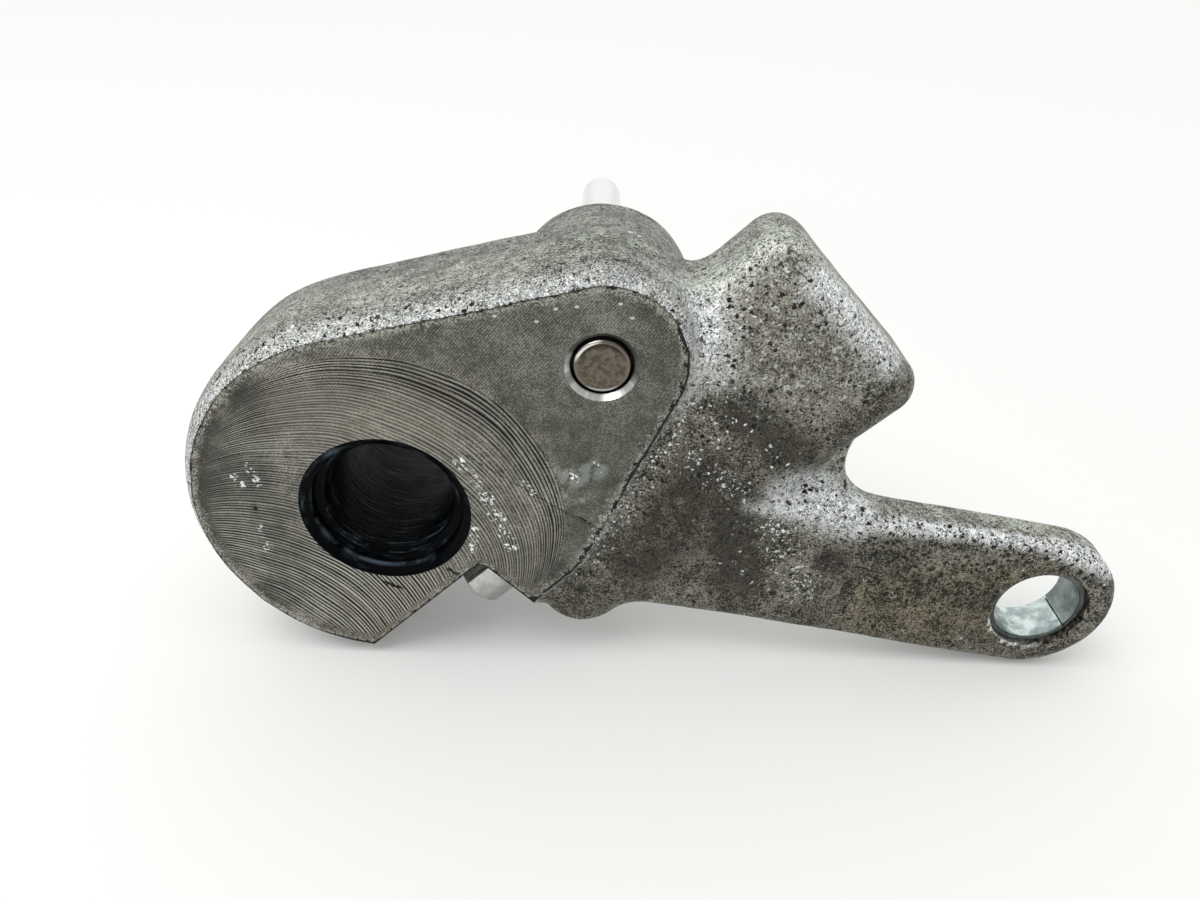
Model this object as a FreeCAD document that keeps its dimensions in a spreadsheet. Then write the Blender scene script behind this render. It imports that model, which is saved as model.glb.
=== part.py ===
import FreeCAD, Part
import math
import os

import Sketcher

# Belt tensioner: a cast lever with a lined pivot bore, a long dowel for the roller,
# a spring plunger in a slanting barrel and an arm that ends in a bushed eye.
# The pivot bore runs along Y and the origin lies on its axis, halfway along it.
# The machined face looks along -Y, +X points from the pivot to the eye, +Z is up.

SIZES = [
    ("pivot_length", 36, "length of the pivot bore, from the machined face to the rear boss"),
    ("lobe_radius", 31, "outer radius of the cast lobe round the pivot bore"),
    ("boss_radius", 14.1, "outer radius of the cast boss round the dowel"),
    ("pin_x", 33, "dowel axis, along X from the pivot axis"),
    ("pin_z", 24.5, "dowel axis, along Z from the pivot axis"),
    ("flank_angle", 64.5, "slope of the right flank below the dowel boss, degrees"),
    ("skirt_angle", 47.2, "slope of the skirt below the flank, degrees"),
    ("knee_radius", 20, "radius where the flank turns into the skirt"),
    ("plate_depth", 22.6, "depth of the lever plate behind the machined face"),
    ("facing_allowance", 1.9, "stock milled off the front of the plate"),
    ("front_round", 7, "rounding of the plate's front edge before milling"),
    ("rear_round", 3, "rounding of the plate's rear edge"),
    ("pivot_boss_radius", 18.5, "radius of the rear boss round the pivot bore"),
    ("pin_boss_radius", 14.2, "radius of the rear boss round the dowel"),
    ("pin_boss_length", 29, "machined face to the end of the boss round the dowel"),
    ("boss_edge", 1.5, "rounding of the rear bosses"),
    ("tip_x", 11.2, "plunger tip at rest, along X from the pivot axis"),
    ("tip_z", -24.1, "plunger tip at rest, along Z from the pivot axis"),
    ("plunger_angle", 43, "slope of the plunger's axis, degrees"),
    ("plunger_depth", 12.4, "plunger axis behind the machined face"),
    ("plunger_reach", 11.4, "plunger tip to the mouth of the barrel at rest"),
    ("notch_side", 8.5, "plunger axis to the lobe's wall in the notch"),
    ("notch_round", 1.5, "radius in the notch's corner"),
    ("notch_depth", 60, "how far the notch's cutter reaches outside the lobe"),
    ("barrel_above", 17.1, "plunger axis to the barrel's upper side"),
    ("barrel_below", 16.3, "plunger axis to the barrel's lower side"),
    ("barrel_setback", 1.2, "crest of the barrel behind the machined face"),
    ("barrel_depth", 20.8, "depth of the barrel along Y"),
    ("barrel_length", 68.4, "length of the barrel from its mouth to its end face"),
    ("barrel_front_round", 8, "rounding of the barrel's upper front edge"),
    ("barrel_lower_round", 6, "rounding of the barrel's lower front edge"),
    ("barrel_rear_round", 7, "rounding of the barrel's long rear edges"),
    ("barrel_end_round", 4.8, "rounding round the barrel's end face"),
    ("barrel_mouth_round", 9.5, "rounding of the barrel's lower corner at its mouth"),
    ("web_round", 6, "radius of the valley between dowel boss and barrel"),
    ("web_setback", 9.5, "front of the web in that valley, behind the machined face"),
    ("web_depth", 7.5, "depth of the web in that valley"),
    ("eye_x", 106.9, "eye axis, along X from the pivot axis"),
    ("eye_z", -22.6, "eye axis, along Z from the pivot axis"),
    ("eye_end_radius", 13, "radius of the arm's end round the eye"),
    ("arm_angle", 11.6, "downward slope of the arm, degrees"),
    ("arm_setback", 2, "front of the arm behind the machined face"),
    ("arm_thickness", 8.5, "thickness of the arm along Y"),
    ("arm_round", 2, "rounding of the arm's edges"),
    ("arm_root_round", 9, "radius of the valley between barrel and arm"),
    ("eye_bush_radius", 8, "outer radius of the eye's bush"),
    ("eye_bore_radius", 7, "inner radius of the eye's bush"),
    ("eye_mouth", 1, "depth of the cast mouth in front of the eye's bush"),
    ("eye_mouth_flare", 1.1, "how much wider the cast mouth is at the arm's face"),
    ("eye_seam_angle", 2.2, "width of the rolled bush's seam, degrees"),
    ("eye_seam_turn", 38, "seam's place below the X axis, degrees"),
    ("bush_radius", 13.05, "outer radius of the pivot bush"),
    ("bush_land", 0.2, "flat rim of the pivot bush"),
    ("bush_recess_radius", 11.5, "radius of the recess inside each rim"),
    ("bush_mouth", 1, "depth of the sloping rim"),
    ("bush_recess", 3, "depth of the recess from the end"),
    ("bush_step", 0.6, "length of the sloping step below the recess"),
    ("pivot_bore_radius", 10, "radius of the running bore in the pivot bush"),
    ("pin_radius", 4, "radius of the dowel"),
    ("pin_length", 80, "length of the dowel"),
    ("pin_recess", 0.4, "dowel's front end behind the machined face"),
    ("pin_nose", 0.8, "rounding of the dowel's front end"),
    ("pin_tail", 0.8, "chamfer of the dowel's rear end"),
    ("pin_undercut_radius", 3.8, "radius of the undercut between the dowel's seat and journal"),
    ("pin_undercut", 0.6, "width of that undercut, just behind the boss"),
    ("pin_relief_radius", 4.4, "radius of the relief round the dowel's front end"),
    ("pin_relief", 2.5, "depth of that relief"),
    ("pin_mouth", 0.8, "depth and width of the chamfer at the mouth of the dowel hole"),
    ("corner_slack", 0.1, "how far the notch's cutter runs past that corner's rounding"),
    ("overcut", 1, "how far the cutters stand out of the surfaces that they cut"),
    ("rod_radius", 5, "radius of the plunger rod"),
    ("rod_chamfer", 0.4, "chamfer of the plunger's tip"),
    ("travel", 9, "how far the plunger slides in"),
    ("barrel_bore_radius", 7, "radius of the pressure bore in the barrel"),
    ("guide_radius", 8, "outer radius of the rod guide and of its seat"),
    ("guide_length", 10, "length of the rod guide"),
    ("guide_setback", 1.5, "mouth of the barrel to the retaining ring"),
    ("ring_thickness", 1.2, "thickness of the retaining ring"),
    ("ring_bore_radius", 6.6, "inner radius of the retaining ring"),
    ("ring_grip", 0.8, "how deep the retaining ring sits in its groove"),
    ("ring_gap_angle", 36, "opening of the retaining ring, degrees"),
    ("seal_radius", 7, "outer radius of the rod seal"),
    ("seal_length", 3, "length of the rod seal"),
    ("running_gap", 0.03, "radial clearance of the parts that slide"),
    ("rest_gap", 0.3, "clearance between the piston and its stop at rest"),
    ("piston_length", 10.4, "length of the piston"),
    ("spigot_radius", 3.5, "radius of the rod's spigot in the piston"),
    ("spigot_length", 4, "length of that spigot"),
    ("port_radius", 1, "radius of the oil port in the piston"),
    ("port_length", 1.1, "length of the oil port"),
    ("ball_radius", 2, "radius of the check ball"),
    ("ball_play", 0.05, "clearance of the check ball in its seat"),
    ("ball_lift", 0.3, "how far the check ball can lift"),
    ("cage_radius", 3, "outer radius of the ball cage"),
    ("cage_length", 1, "thickness of the ball cage"),
    ("cage_port_radius", 1.2, "radius of the hole in the ball cage"),
    ("bore_floor", 8.4, "wall between the bore's floor and the barrel's end face"),
    ("spring_radius", 5.4, "mean radius of the plunger spring"),
    ("spring_wire_radius", 0.9, "radius of the spring's wire"),
    ("spring_turns", 8, "turns of the plunger spring"),
    ("spring_gap", 0.05, "clearance at each end of the spring"),
]

doc = FreeCAD.newDocument("belt_tensioner")
sheet = doc.addObject("Spreadsheet::Sheet", "Dim")
for row, (alias, value, meaning) in enumerate(SIZES, start=1):
    sheet.set(f"A{row}", meaning)
    sheet.set(f"B{row}", str(value))
    sheet.setAlias(f"B{row}", alias)
doc.recompute()

Y_AXIS = FreeCAD.Vector(0, 1, 0)
Z_AXIS = FreeCAD.Vector(0, 0, 1)
SAME_LEVEL = 1e-4
SAME_CORNER = 0.1
LONG_EDGE = 1

# Places that several pieces share, as formulas of the sizes.
FACE = "(-Dim.pivot_length / 2)"
MOUTH = "Dim.plunger_reach"
RING_AT = f"({MOUTH} + Dim.guide_setback)"
GUIDE_AT = f"({RING_AT} + Dim.ring_thickness)"
GUIDE_END = f"({GUIDE_AT} + Dim.guide_length)"
PISTON_AT = f"({GUIDE_END} + Dim.rest_gap)"
PISTON_END = f"({PISTON_AT} + Dim.piston_length)"
BORE_END = f"({MOUTH} + Dim.barrel_length - Dim.bore_floor)"
SEAT_AT = f"({PISTON_AT} + Dim.spigot_length + Dim.port_length)"
BALL_AT = f"({SEAT_AT} - Dim.port_radius + Dim.ball_radius * sqrt(2) + Dim.ball_play)"
CAGE_AT = f"({BALL_AT} + Dim.ball_radius + Dim.ball_lift)"


def number(formula):
    """The value of a formula of the sizes."""
    value = sheet.evalExpression(formula)
    return float(getattr(value, "Value", value))


def bind(thing, **formulas):
    """Tie properties to formulas; a double underscore in a name stands for a dot."""
    for name, formula in formulas.items():
        thing.setExpression(name.replace("__", "."), formula)


def place(thing, x="0", y="0", z="0", axis=Y_AXIS, angle=None):
    """Put a piece at a point that follows the sizes, turned about one axis."""
    if angle is not None:
        turn = FreeCAD.Rotation(axis, number(angle))
        thing.Placement = FreeCAD.Placement(FreeCAD.Vector(), turn)
        bind(thing, Placement__Rotation__Angle=f"({angle}) * 1 deg")
    bind(thing, Placement__Base__x=x, Placement__Base__y=y, Placement__Base__z=z)


def on_plunger_axis(thing):
    """Lay a piece whose own axis is X along the plunger, with its zero at the tip."""
    place(thing, "Dim.tip_x", f"{FACE} + Dim.plunger_depth", "Dim.tip_z", Y_AXIS,
          "-Dim.plunger_angle")


def along_y(thing, x, y, z):
    """Lay a piece whose own axis is X along the row's Y axis."""
    place(thing, x, y, z, Z_AXIS, "90")


def new_body(name):
    body = doc.addObject("PartDesign::Body", name)
    body.Label = name
    return body


def new_sketch(body, name, plane, offset=None):
    """A sketch on one of the body's own origin planes, moved along its normal."""
    support = [item for item in body.Origin.OriginFeatures if item.Role == plane]
    sketch = body.newObject("Sketcher::SketchObject", name)
    sketch.AttachmentSupport = (support[0], [""])
    sketch.MapMode = "FlatFace"
    if offset:
        bind(sketch, AttachmentOffset__Base__z=offset)
    return sketch


def fix_point(sketch, line, point, across, up):
    """Hold one end of a line at two formulas, measured from the sketch's origin."""
    for kind, formula, on_axis in (("DistanceX", across, -2), ("DistanceY", up, -1)):
        if formula == "0":
            sketch.addConstraint(Sketcher.Constraint("PointOnObject", line, point, on_axis))
        else:
            rule = Sketcher.Constraint(kind, -1, 1, line, point, number(formula))
            index = sketch.addConstraint(rule)
            bind(sketch, **{f"Constraints[{index}]": formula})


def polygon(sketch, corners):
    """A closed outline through corners that are pairs of formulas."""
    points = [FreeCAD.Vector(number(a), number(b), 0) for a, b in corners]
    count = len(points)
    for i in range(count):
        sketch.addGeometry(Part.LineSegment(points[i], points[(i + 1) % count]), False)
    for i in range(count):
        sketch.addConstraint(Sketcher.Constraint("Coincident", i, 2, (i + 1) % count, 1))
        fix_point(sketch, i, 1, *corners[i])


def turned(name, profile, sweep="360"):
    """A piece turned about its own X axis; the profile is pairs (along, radius)."""
    body = new_body(name)
    sketch = new_sketch(body, name + "_profile", "XY_Plane")
    polygon(sketch, profile)
    turn = body.newObject("PartDesign::Revolution", name + "_turned")
    turn.Profile = sketch
    turn.ReferenceAxis = (sketch, ["H_Axis"])
    bind(turn, Angle=sweep)
    doc.recompute()
    return body


def pad(body, sketch, length):
    feature = body.newObject("PartDesign::Pad", sketch.Name + "_pad")
    feature.Profile = sketch
    bind(feature, Length=length)
    doc.recompute()
    return feature


def round_edges(body, chosen, radius):
    """Round the edges of the body's last feature that a test picks."""
    base = body.Tip
    names = [f"Edge{i}" for i, edge in enumerate(base.Shape.Edges, start=1) if chosen(edge)]
    feature = body.newObject("PartDesign::Fillet", base.Name + "_round")
    feature.Base = (base, names)
    bind(feature, Radius=radius)
    doc.recompute()
    return feature


def lies_at(axis, level):
    """A test for edges that lie in the plane where one coordinate has a level."""
    def chosen(edge):
        box = edge.BoundBox
        low = getattr(box, axis + "Min")
        high = getattr(box, axis + "Max")
        return abs(low - level) < SAME_LEVEL and abs(high - level) < SAME_LEVEL
    return chosen


# Lever plate.
# Its outline wraps the pivot lobe and the dowel boss; on the right the flank comes
# down from the boss, turns at the knee and runs tangent into the lobe.
def tangent_line(centre_a, radius_a, centre_b, radius_b):
    """End points of the line that touches circle A and then circle B on its right side."""
    across = FreeCAD.Vector(centre_b).sub(centre_a)
    lean = math.asin((radius_a - radius_b) / across.Length)
    angle = math.atan2(across.y, across.x) + lean - math.pi / 2
    normal = FreeCAD.Vector(math.cos(angle), math.sin(angle), 0)
    return centre_a + normal * radius_a, centre_b + normal * radius_b


def arc_between(centre, radius, start, end):
    """The counterclockwise arc of a circle from one point to another."""
    circle = Part.Circle(centre, Z_AXIS, radius)
    first = math.atan2(start.y - centre.y, start.x - centre.x)
    last = math.atan2(end.y - centre.y, end.x - centre.x)
    return Part.ArcOfCircle(circle, first, last if last > first else last + 2 * math.pi)


def knee_centre():
    """Centre of the knee arc, from the two tangent lines that it joins."""
    flank = math.radians(number("Dim.flank_angle"))
    skirt = math.radians(number("Dim.skirt_angle"))
    reach_flank = (number("Dim.pin_x") * math.sin(flank) - number("Dim.pin_z") * math.cos(flank)
                   + number("Dim.boss_radius") - number("Dim.knee_radius"))
    reach_skirt = number("Dim.lobe_radius") - number("Dim.knee_radius")
    turn = math.sin(flank - skirt)
    x = (reach_skirt * math.cos(flank) - reach_flank * math.cos(skirt)) / -turn
    z = (reach_skirt * math.sin(flank) - reach_flank * math.sin(skirt)) / -turn
    return FreeCAD.Vector(x, z, 0)


plate = new_body("lever_plate")
outline = new_sketch(plate, "plate_outline", "XZ_Plane", "Dim.pivot_length / 2 - Dim.plate_depth")
lobe = FreeCAD.Vector(0, 0, 0)
boss = FreeCAD.Vector(number("Dim.pin_x"), number("Dim.pin_z"), 0)
knee = knee_centre()
lobe_r = number("Dim.lobe_radius")
boss_r = number("Dim.boss_radius")
knee_r = number("Dim.knee_radius")
skirt_low, skirt_high = tangent_line(lobe, lobe_r, knee, knee_r)
flank_low, flank_high = tangent_line(knee, knee_r, boss, boss_r)
crown_right, crown_left = tangent_line(boss, boss_r, lobe, lobe_r)
outline.addGeometry(arc_between(lobe, lobe_r, crown_left, skirt_low), False)
outline.addGeometry(Part.LineSegment(skirt_low, skirt_high), False)
outline.addGeometry(arc_between(knee, knee_r, skirt_high, flank_low), False)
outline.addGeometry(Part.LineSegment(flank_low, flank_high), False)
outline.addGeometry(arc_between(boss, boss_r, flank_high, crown_right), False)
outline.addGeometry(Part.LineSegment(crown_right, crown_left), False)
for first, second in ((0, 1), (1, 2), (2, 3), (3, 4), (4, 5), (5, 0)):
    outline.addConstraint(Sketcher.Constraint("Tangent", first, 2, second, 1))
outline.addConstraint(Sketcher.Constraint("Coincident", 0, 3, -1, 1))
fix_point(outline, 4, 3, "Dim.pin_x", "Dim.pin_z")
for geometry, kind, start, formula in (
        (0, "Radius", lobe_r, "Dim.lobe_radius"),
        (4, "Radius", boss_r, "Dim.boss_radius"),
        (2, "Radius", knee_r, "Dim.knee_radius"),
        (1, "Angle", math.radians(number("Dim.skirt_angle")), "Dim.skirt_angle * 1 deg"),
        (3, "Angle", math.radians(number("Dim.flank_angle")), "Dim.flank_angle * 1 deg")):
    rule = outline.addConstraint(Sketcher.Constraint(kind, geometry, start))
    bind(outline, **{f"Constraints[{rule}]": formula})
doc.recompute()
pad(plate, outline, "Dim.plate_depth + Dim.facing_allowance")
round_edges(plate, lies_at("Y", number(f"{FACE} - Dim.facing_allowance")), "Dim.front_round")
round_edges(plate, lies_at("Y", number(f"{FACE} + Dim.plate_depth")), "Dim.rear_round")

# Rear bosses round the pivot bore and round the dowel.
BOSS_ROOT = "Dim.plate_depth / 2"
rear_bosses = []
for name, radius, length, x, z in (
        ("pivot_boss", "Dim.pivot_boss_radius", "Dim.pivot_length", "0", "0"),
        ("pin_boss", "Dim.pin_boss_radius", "Dim.pin_boss_length", "Dim.pin_x", "Dim.pin_z")):
    cast_boss = turned(name, [(BOSS_ROOT, "0"), (BOSS_ROOT, radius), (length, radius),
                              (length, "0")])
    round_edges(cast_boss, lies_at("X", number(length)), "Dim.boss_edge")
    along_y(cast_boss, x, FACE, z)
    rear_bosses.append(cast_boss)

# Barrel of the plunger, a long block with well rounded edges.
barrel = new_body("plunger_barrel")
section = new_sketch(barrel, "barrel_section", "YZ_Plane", MOUTH)
BARREL_FRONT = "(Dim.barrel_setback - Dim.plunger_depth)"
BARREL_REAR = f"({BARREL_FRONT} + Dim.barrel_depth)"
polygon(section, [(BARREL_FRONT, "-Dim.barrel_below"), (BARREL_REAR, "-Dim.barrel_below"),
                  (BARREL_REAR, "Dim.barrel_above"), (BARREL_FRONT, "Dim.barrel_above")])
doc.recompute()
pad(barrel, section, "Dim.barrel_length")


def runs_along_barrel(level, sides):
    """A test for the long edges at one level of Y, on one side or on both."""
    at_level = lies_at("Y", number(level))

    def chosen(edge):
        box = edge.BoundBox
        return at_level(edge) and box.XLength > LONG_EDGE and box.ZMin * sides >= 0
    return chosen


ABOVE, BELOW, BOTH = 1, -1, 0
round_edges(barrel, runs_along_barrel(BARREL_FRONT, ABOVE), "Dim.barrel_front_round")
round_edges(barrel, runs_along_barrel(BARREL_FRONT, BELOW), "Dim.barrel_lower_round")
round_edges(barrel, runs_along_barrel(BARREL_REAR, BOTH), "Dim.barrel_rear_round")
round_edges(barrel, lies_at("X", number(f"{MOUTH} + Dim.barrel_length")), "Dim.barrel_end_round")
on_plunger_axis(barrel)

# Arm, drawn from the eye back to the barrel's flank, where its top edge turns up
# in a hollow of its own radius.
arm = new_body("arm")
arm_outline = new_sketch(arm, "arm_outline", "XZ_Plane")
slope = math.radians(number("Dim.arm_angle"))
wedge = math.radians(number("Dim.arm_angle + Dim.plunger_angle"))


def in_arm(x, z):
    """A point of the row's XZ plane, seen from the eye along the arm."""
    dx = x - number("Dim.eye_x")
    dz = z - number("Dim.eye_z")
    return FreeCAD.Vector(dx * math.cos(slope) - dz * math.sin(slope),
                          dx * math.sin(slope) + dz * math.cos(slope), 0)


def in_row(along, across):
    """A point of the row's XZ plane, from the plunger's tip; across is up and left."""
    angle = math.radians(number("Dim.plunger_angle"))
    return (number("Dim.tip_x") + along * math.cos(angle) - across * math.sin(angle),
            number("Dim.tip_z") + along * math.sin(angle) + across * math.cos(angle))


end_r = number("Dim.eye_end_radius")
root_r = number("Dim.arm_root_round")
flank_point = in_arm(*in_row(0, -number("Dim.barrel_below")))
apex = flank_point.x + (end_r - flank_point.y) / math.tan(wedge)
run = root_r / math.tan(wedge / 2)
hollow = FreeCAD.Vector(apex + run, end_r + root_r, 0)
hollow_low = FreeCAD.Vector(apex + run, end_r, 0)
hollow_high = FreeCAD.Vector(apex + run * math.cos(wedge), end_r + run * math.sin(wedge), 0)
in_barrel = in_arm(*in_row(number(f"{MOUTH} + Dim.barrel_length / 2"), 0))
in_notch = in_arm(*in_row(number(f"{MOUTH} - Dim.notch_round"), number("Dim.notch_side")))
foot = FreeCAD.Vector(in_notch.x, -end_r, 0)
arm_outline.addGeometry(Part.LineSegment(foot, FreeCAD.Vector(0, -end_r, 0)), False)
arm_outline.addGeometry(arc_between(FreeCAD.Vector(), end_r, FreeCAD.Vector(0, -end_r, 0),
                                    FreeCAD.Vector(0, end_r, 0)), False)
arm_outline.addGeometry(Part.LineSegment(FreeCAD.Vector(0, end_r, 0), hollow_low), False)
arm_outline.addGeometry(arc_between(hollow, root_r, hollow_high, hollow_low), False)
arm_outline.addGeometry(Part.LineSegment(hollow_high, in_barrel), False)
arm_outline.addGeometry(Part.LineSegment(in_barrel, in_notch), False)
arm_outline.addGeometry(Part.LineSegment(in_notch, foot), False)
joints = ((0, 2, 1, 1), (1, 2, 2, 1), (2, 2, 3, 2), (3, 1, 4, 1), (4, 2, 5, 1), (5, 2, 6, 1),
          (6, 2, 0, 1))
for first, first_end, second, second_end in joints:
    arm_outline.addConstraint(
        Sketcher.Constraint("Coincident", first, first_end, second, second_end))
arm_outline.addConstraint(Sketcher.Constraint("Coincident", 1, 3, -1, 1))
rule = arm_outline.addConstraint(Sketcher.Constraint("Radius", 1, end_r))
bind(arm_outline, **{f"Constraints[{rule}]": "Dim.eye_end_radius"})
rule = arm_outline.addConstraint(Sketcher.Constraint("Radius", 3, root_r))
bind(arm_outline, **{f"Constraints[{rule}]": "Dim.arm_root_round"})
doc.recompute()
arm_pad = pad(arm, arm_outline, "Dim.arm_thickness")
arm_pad.Reversed = True
doc.recompute()
hidden_corners = [FreeCAD.Vector(point.x, 0, point.y) for point in (in_barrel, in_notch)]


def on_open_side(edge):
    """True for the edges of the arm's outline that don't close it inside the barrel."""
    ends = [FreeCAD.Vector(vertex.X, 0, vertex.Z) for vertex in edge.Vertexes]
    return all(end.sub(corner).Length > SAME_CORNER for end in ends
               for corner in hidden_corners)


for level in ("0", "Dim.arm_thickness"):
    at_level = lies_at("Y", number(level))
    round_edges(arm, lambda edge: at_level(edge) and on_open_side(edge), "Dim.arm_round")
place(arm, "Dim.eye_x", f"{FACE} + Dim.arm_setback", "Dim.eye_z", Y_AXIS, "Dim.arm_angle")

# Web in the valley between the dowel boss and the barrel.
web = new_body("valley_web")
web_outline = new_sketch(web, "web_outline", "XZ_Plane", "0")
web_r = number("Dim.web_round")
side = number("Dim.barrel_above")
pin_in_plunger = in_row(0, 0)
angle = math.radians(number("Dim.plunger_angle"))
pin_along = ((boss.x - pin_in_plunger[0]) * math.cos(angle)
             + (boss.y - pin_in_plunger[1]) * math.sin(angle))
pin_across = ((boss.y - pin_in_plunger[1]) * math.cos(angle)
              - (boss.x - pin_in_plunger[0]) * math.sin(angle))
rise = side + web_r - pin_across
valley_along = pin_along + math.sqrt((boss_r + web_r) ** 2 - rise ** 2)
valley = FreeCAD.Vector(*in_row(valley_along, side + web_r), 0)
on_barrel = FreeCAD.Vector(*in_row(valley_along, side), 0)
on_boss = boss + (valley - boss) * (boss_r / (boss_r + web_r))
below = FreeCAD.Vector(*in_row(valley_along, side / 2), 0)
web_outline.addGeometry(arc_between(valley, web_r, on_boss, on_barrel), False)
web_outline.addGeometry(Part.LineSegment(on_barrel, below), False)
web_outline.addGeometry(Part.LineSegment(below, boss), False)
web_outline.addGeometry(Part.LineSegment(boss, on_boss), False)
for first, second in ((0, 1), (1, 2), (2, 3), (3, 0)):
    web_outline.addConstraint(Sketcher.Constraint("Coincident", first, 2, second, 1))
rule = web_outline.addConstraint(Sketcher.Constraint("Radius", 0, web_r))
bind(web_outline, **{f"Constraints[{rule}]": "Dim.web_round"})
doc.recompute()
web_pad = pad(web, web_outline, "Dim.web_depth")
web_pad.Reversed = True
doc.recompute()
place(web, "0", f"{FACE} + Dim.web_setback", "0")

# Everything that is cut out of the casting.
facing = doc.addObject("Part::Box", "facing_cut")
bind(facing, Length="4 * Dim.eye_x", Width="Dim.pivot_length", Height="4 * Dim.eye_x")
place(facing, "-2 * Dim.eye_x", f"{FACE} - Dim.pivot_length", "-2 * Dim.eye_x")

notch = new_body("notch_cut")
notch_outline = new_sketch(notch, "notch_outline", "XZ_Plane", "-Dim.pivot_length")
NOTCH_FAR = f"({MOUTH} + Dim.barrel_mouth_round + Dim.corner_slack)"
polygon(notch_outline, [("-Dim.notch_depth", "-Dim.notch_depth"), (NOTCH_FAR, "-Dim.notch_depth"),
                        (NOTCH_FAR, "-Dim.barrel_below"), (MOUTH, "-Dim.barrel_below"),
                        (MOUTH, "Dim.notch_side"), ("-Dim.notch_depth", "Dim.notch_side")])
doc.recompute()
pad(notch, notch_outline, "3 * Dim.pivot_length")


def is_mouth_edge(level):
    """A test for the cutter's edge at the barrel's mouth, at one level of Z."""
    at_mouth = lies_at("X", number(MOUTH))
    at_level = lies_at("Z", number(level))
    return lambda edge: at_mouth(edge) and at_level(edge)


round_edges(notch, is_mouth_edge("Dim.notch_side"), "Dim.notch_round")
round_edges(notch, is_mouth_edge("-Dim.barrel_below"), "Dim.barrel_mouth_round")
on_plunger_axis(notch)

pivot_bore = turned("pivot_bore_cut", [("-Dim.pivot_length", "0"),
                                       ("-Dim.pivot_length", "Dim.bush_radius"),
                                       ("Dim.pivot_length", "Dim.bush_radius"),
                                       ("Dim.pivot_length", "0")])
along_y(pivot_bore, "0", "0", "0")

MOUTH_R = "(Dim.pin_relief_radius + Dim.pin_mouth)"
pin_hole = turned("pin_hole_cut", [("-Dim.overcut", "0"), ("-Dim.overcut", f"{MOUTH_R} + Dim.overcut"),
                                   ("0", MOUTH_R),
                                   ("Dim.pin_mouth", "Dim.pin_relief_radius"),
                                   ("Dim.pin_relief", "Dim.pin_relief_radius"),
                                   ("Dim.pin_relief", "Dim.pin_radius"),
                                   ("2 * Dim.pivot_length", "Dim.pin_radius"),
                                   ("2 * Dim.pivot_length", "0")])
along_y(pin_hole, "Dim.pin_x", FACE, "Dim.pin_z")

FLARE_R = "(Dim.eye_bush_radius + Dim.eye_mouth_flare)"
eye_hole = turned("eye_hole_cut", [("-Dim.overcut", "0"), ("-Dim.overcut", FLARE_R), ("0", FLARE_R),
                                   ("Dim.eye_mouth", "Dim.eye_bush_radius"),
                                   ("2 * Dim.arm_thickness", "Dim.eye_bush_radius"),
                                   ("2 * Dim.arm_thickness", "0")])
along_y(eye_hole, "Dim.eye_x", f"{FACE} + Dim.arm_setback", "Dim.eye_z")

GROOVE_R = "(Dim.guide_radius + Dim.ring_grip)"
barrel_bore = turned("barrel_bore_cut", [(f"{MOUTH} - Dim.overcut", "0"),
                                         (f"{MOUTH} - Dim.overcut", "Dim.guide_radius"),
                                         (RING_AT, "Dim.guide_radius"), (RING_AT, GROOVE_R),
                                         (GUIDE_AT, GROOVE_R), (GUIDE_AT, "Dim.guide_radius"),
                                         (GUIDE_END, "Dim.guide_radius"),
                                         (GUIDE_END, "Dim.barrel_bore_radius"),
                                         (BORE_END, "Dim.barrel_bore_radius"), (BORE_END, "0")])
on_plunger_axis(barrel_bore)

solid = doc.addObject("Part::MultiFuse", "casting_solid")
solid.Shapes = [plate, barrel, arm, web] + rear_bosses
cuts = doc.addObject("Part::MultiFuse", "casting_cuts")
cuts.Shapes = [facing, notch, pivot_bore, pin_hole, eye_hole, barrel_bore]
casting = doc.addObject("Part::Cut", "lever_casting")
casting.Base = solid
casting.Tool = cuts
casting.Label = "lever_casting"
doc.recompute()

# Pivot bush, a dark sleeve with a sloping rim and a recess at each end.
RECESS_END = "(Dim.pivot_length / 2 - Dim.bush_recess)"
STEP_END = f"({RECESS_END} - Dim.bush_step)"
RIM_END = "(Dim.pivot_length / 2 - Dim.bush_mouth)"
END = "Dim.pivot_length / 2"
half = [(END, "Dim.bush_radius"), (END, "Dim.bush_radius - Dim.bush_land"),
        (RIM_END, "Dim.bush_recess_radius"), (RECESS_END, "Dim.bush_recess_radius"),
        (STEP_END, "Dim.pivot_bore_radius")]
mirrored = [(f"-({along})", radius) for along, radius in reversed(half)]
pivot_bush = turned("pivot_bush", half + mirrored)
along_y(pivot_bush, "0", "0", "0")

# Eye bush, rolled from strip, so that a seam runs along it.
eye_bush = turned("eye_bush", [("Dim.eye_mouth", "Dim.eye_bore_radius"),
                               ("Dim.eye_mouth", "Dim.eye_bush_radius"),
                               ("Dim.arm_thickness", "Dim.eye_bush_radius"),
                               ("Dim.arm_thickness", "Dim.eye_bore_radius")],
                  "360 - Dim.eye_seam_angle")
bind(eye_bush, Placement__Base__x="Dim.eye_x", Placement__Base__y=f"{FACE} + Dim.arm_setback",
     Placement__Base__z="Dim.eye_z")
spin = FreeCAD.Rotation(Y_AXIS, number("Dim.eye_seam_turn"))
lay_down = FreeCAD.Rotation(Z_AXIS, 90)
flip = FreeCAD.Rotation(Y_AXIS, 180)
eye_bush.Placement.Rotation = spin.multiply(flip.multiply(lay_down))

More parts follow.
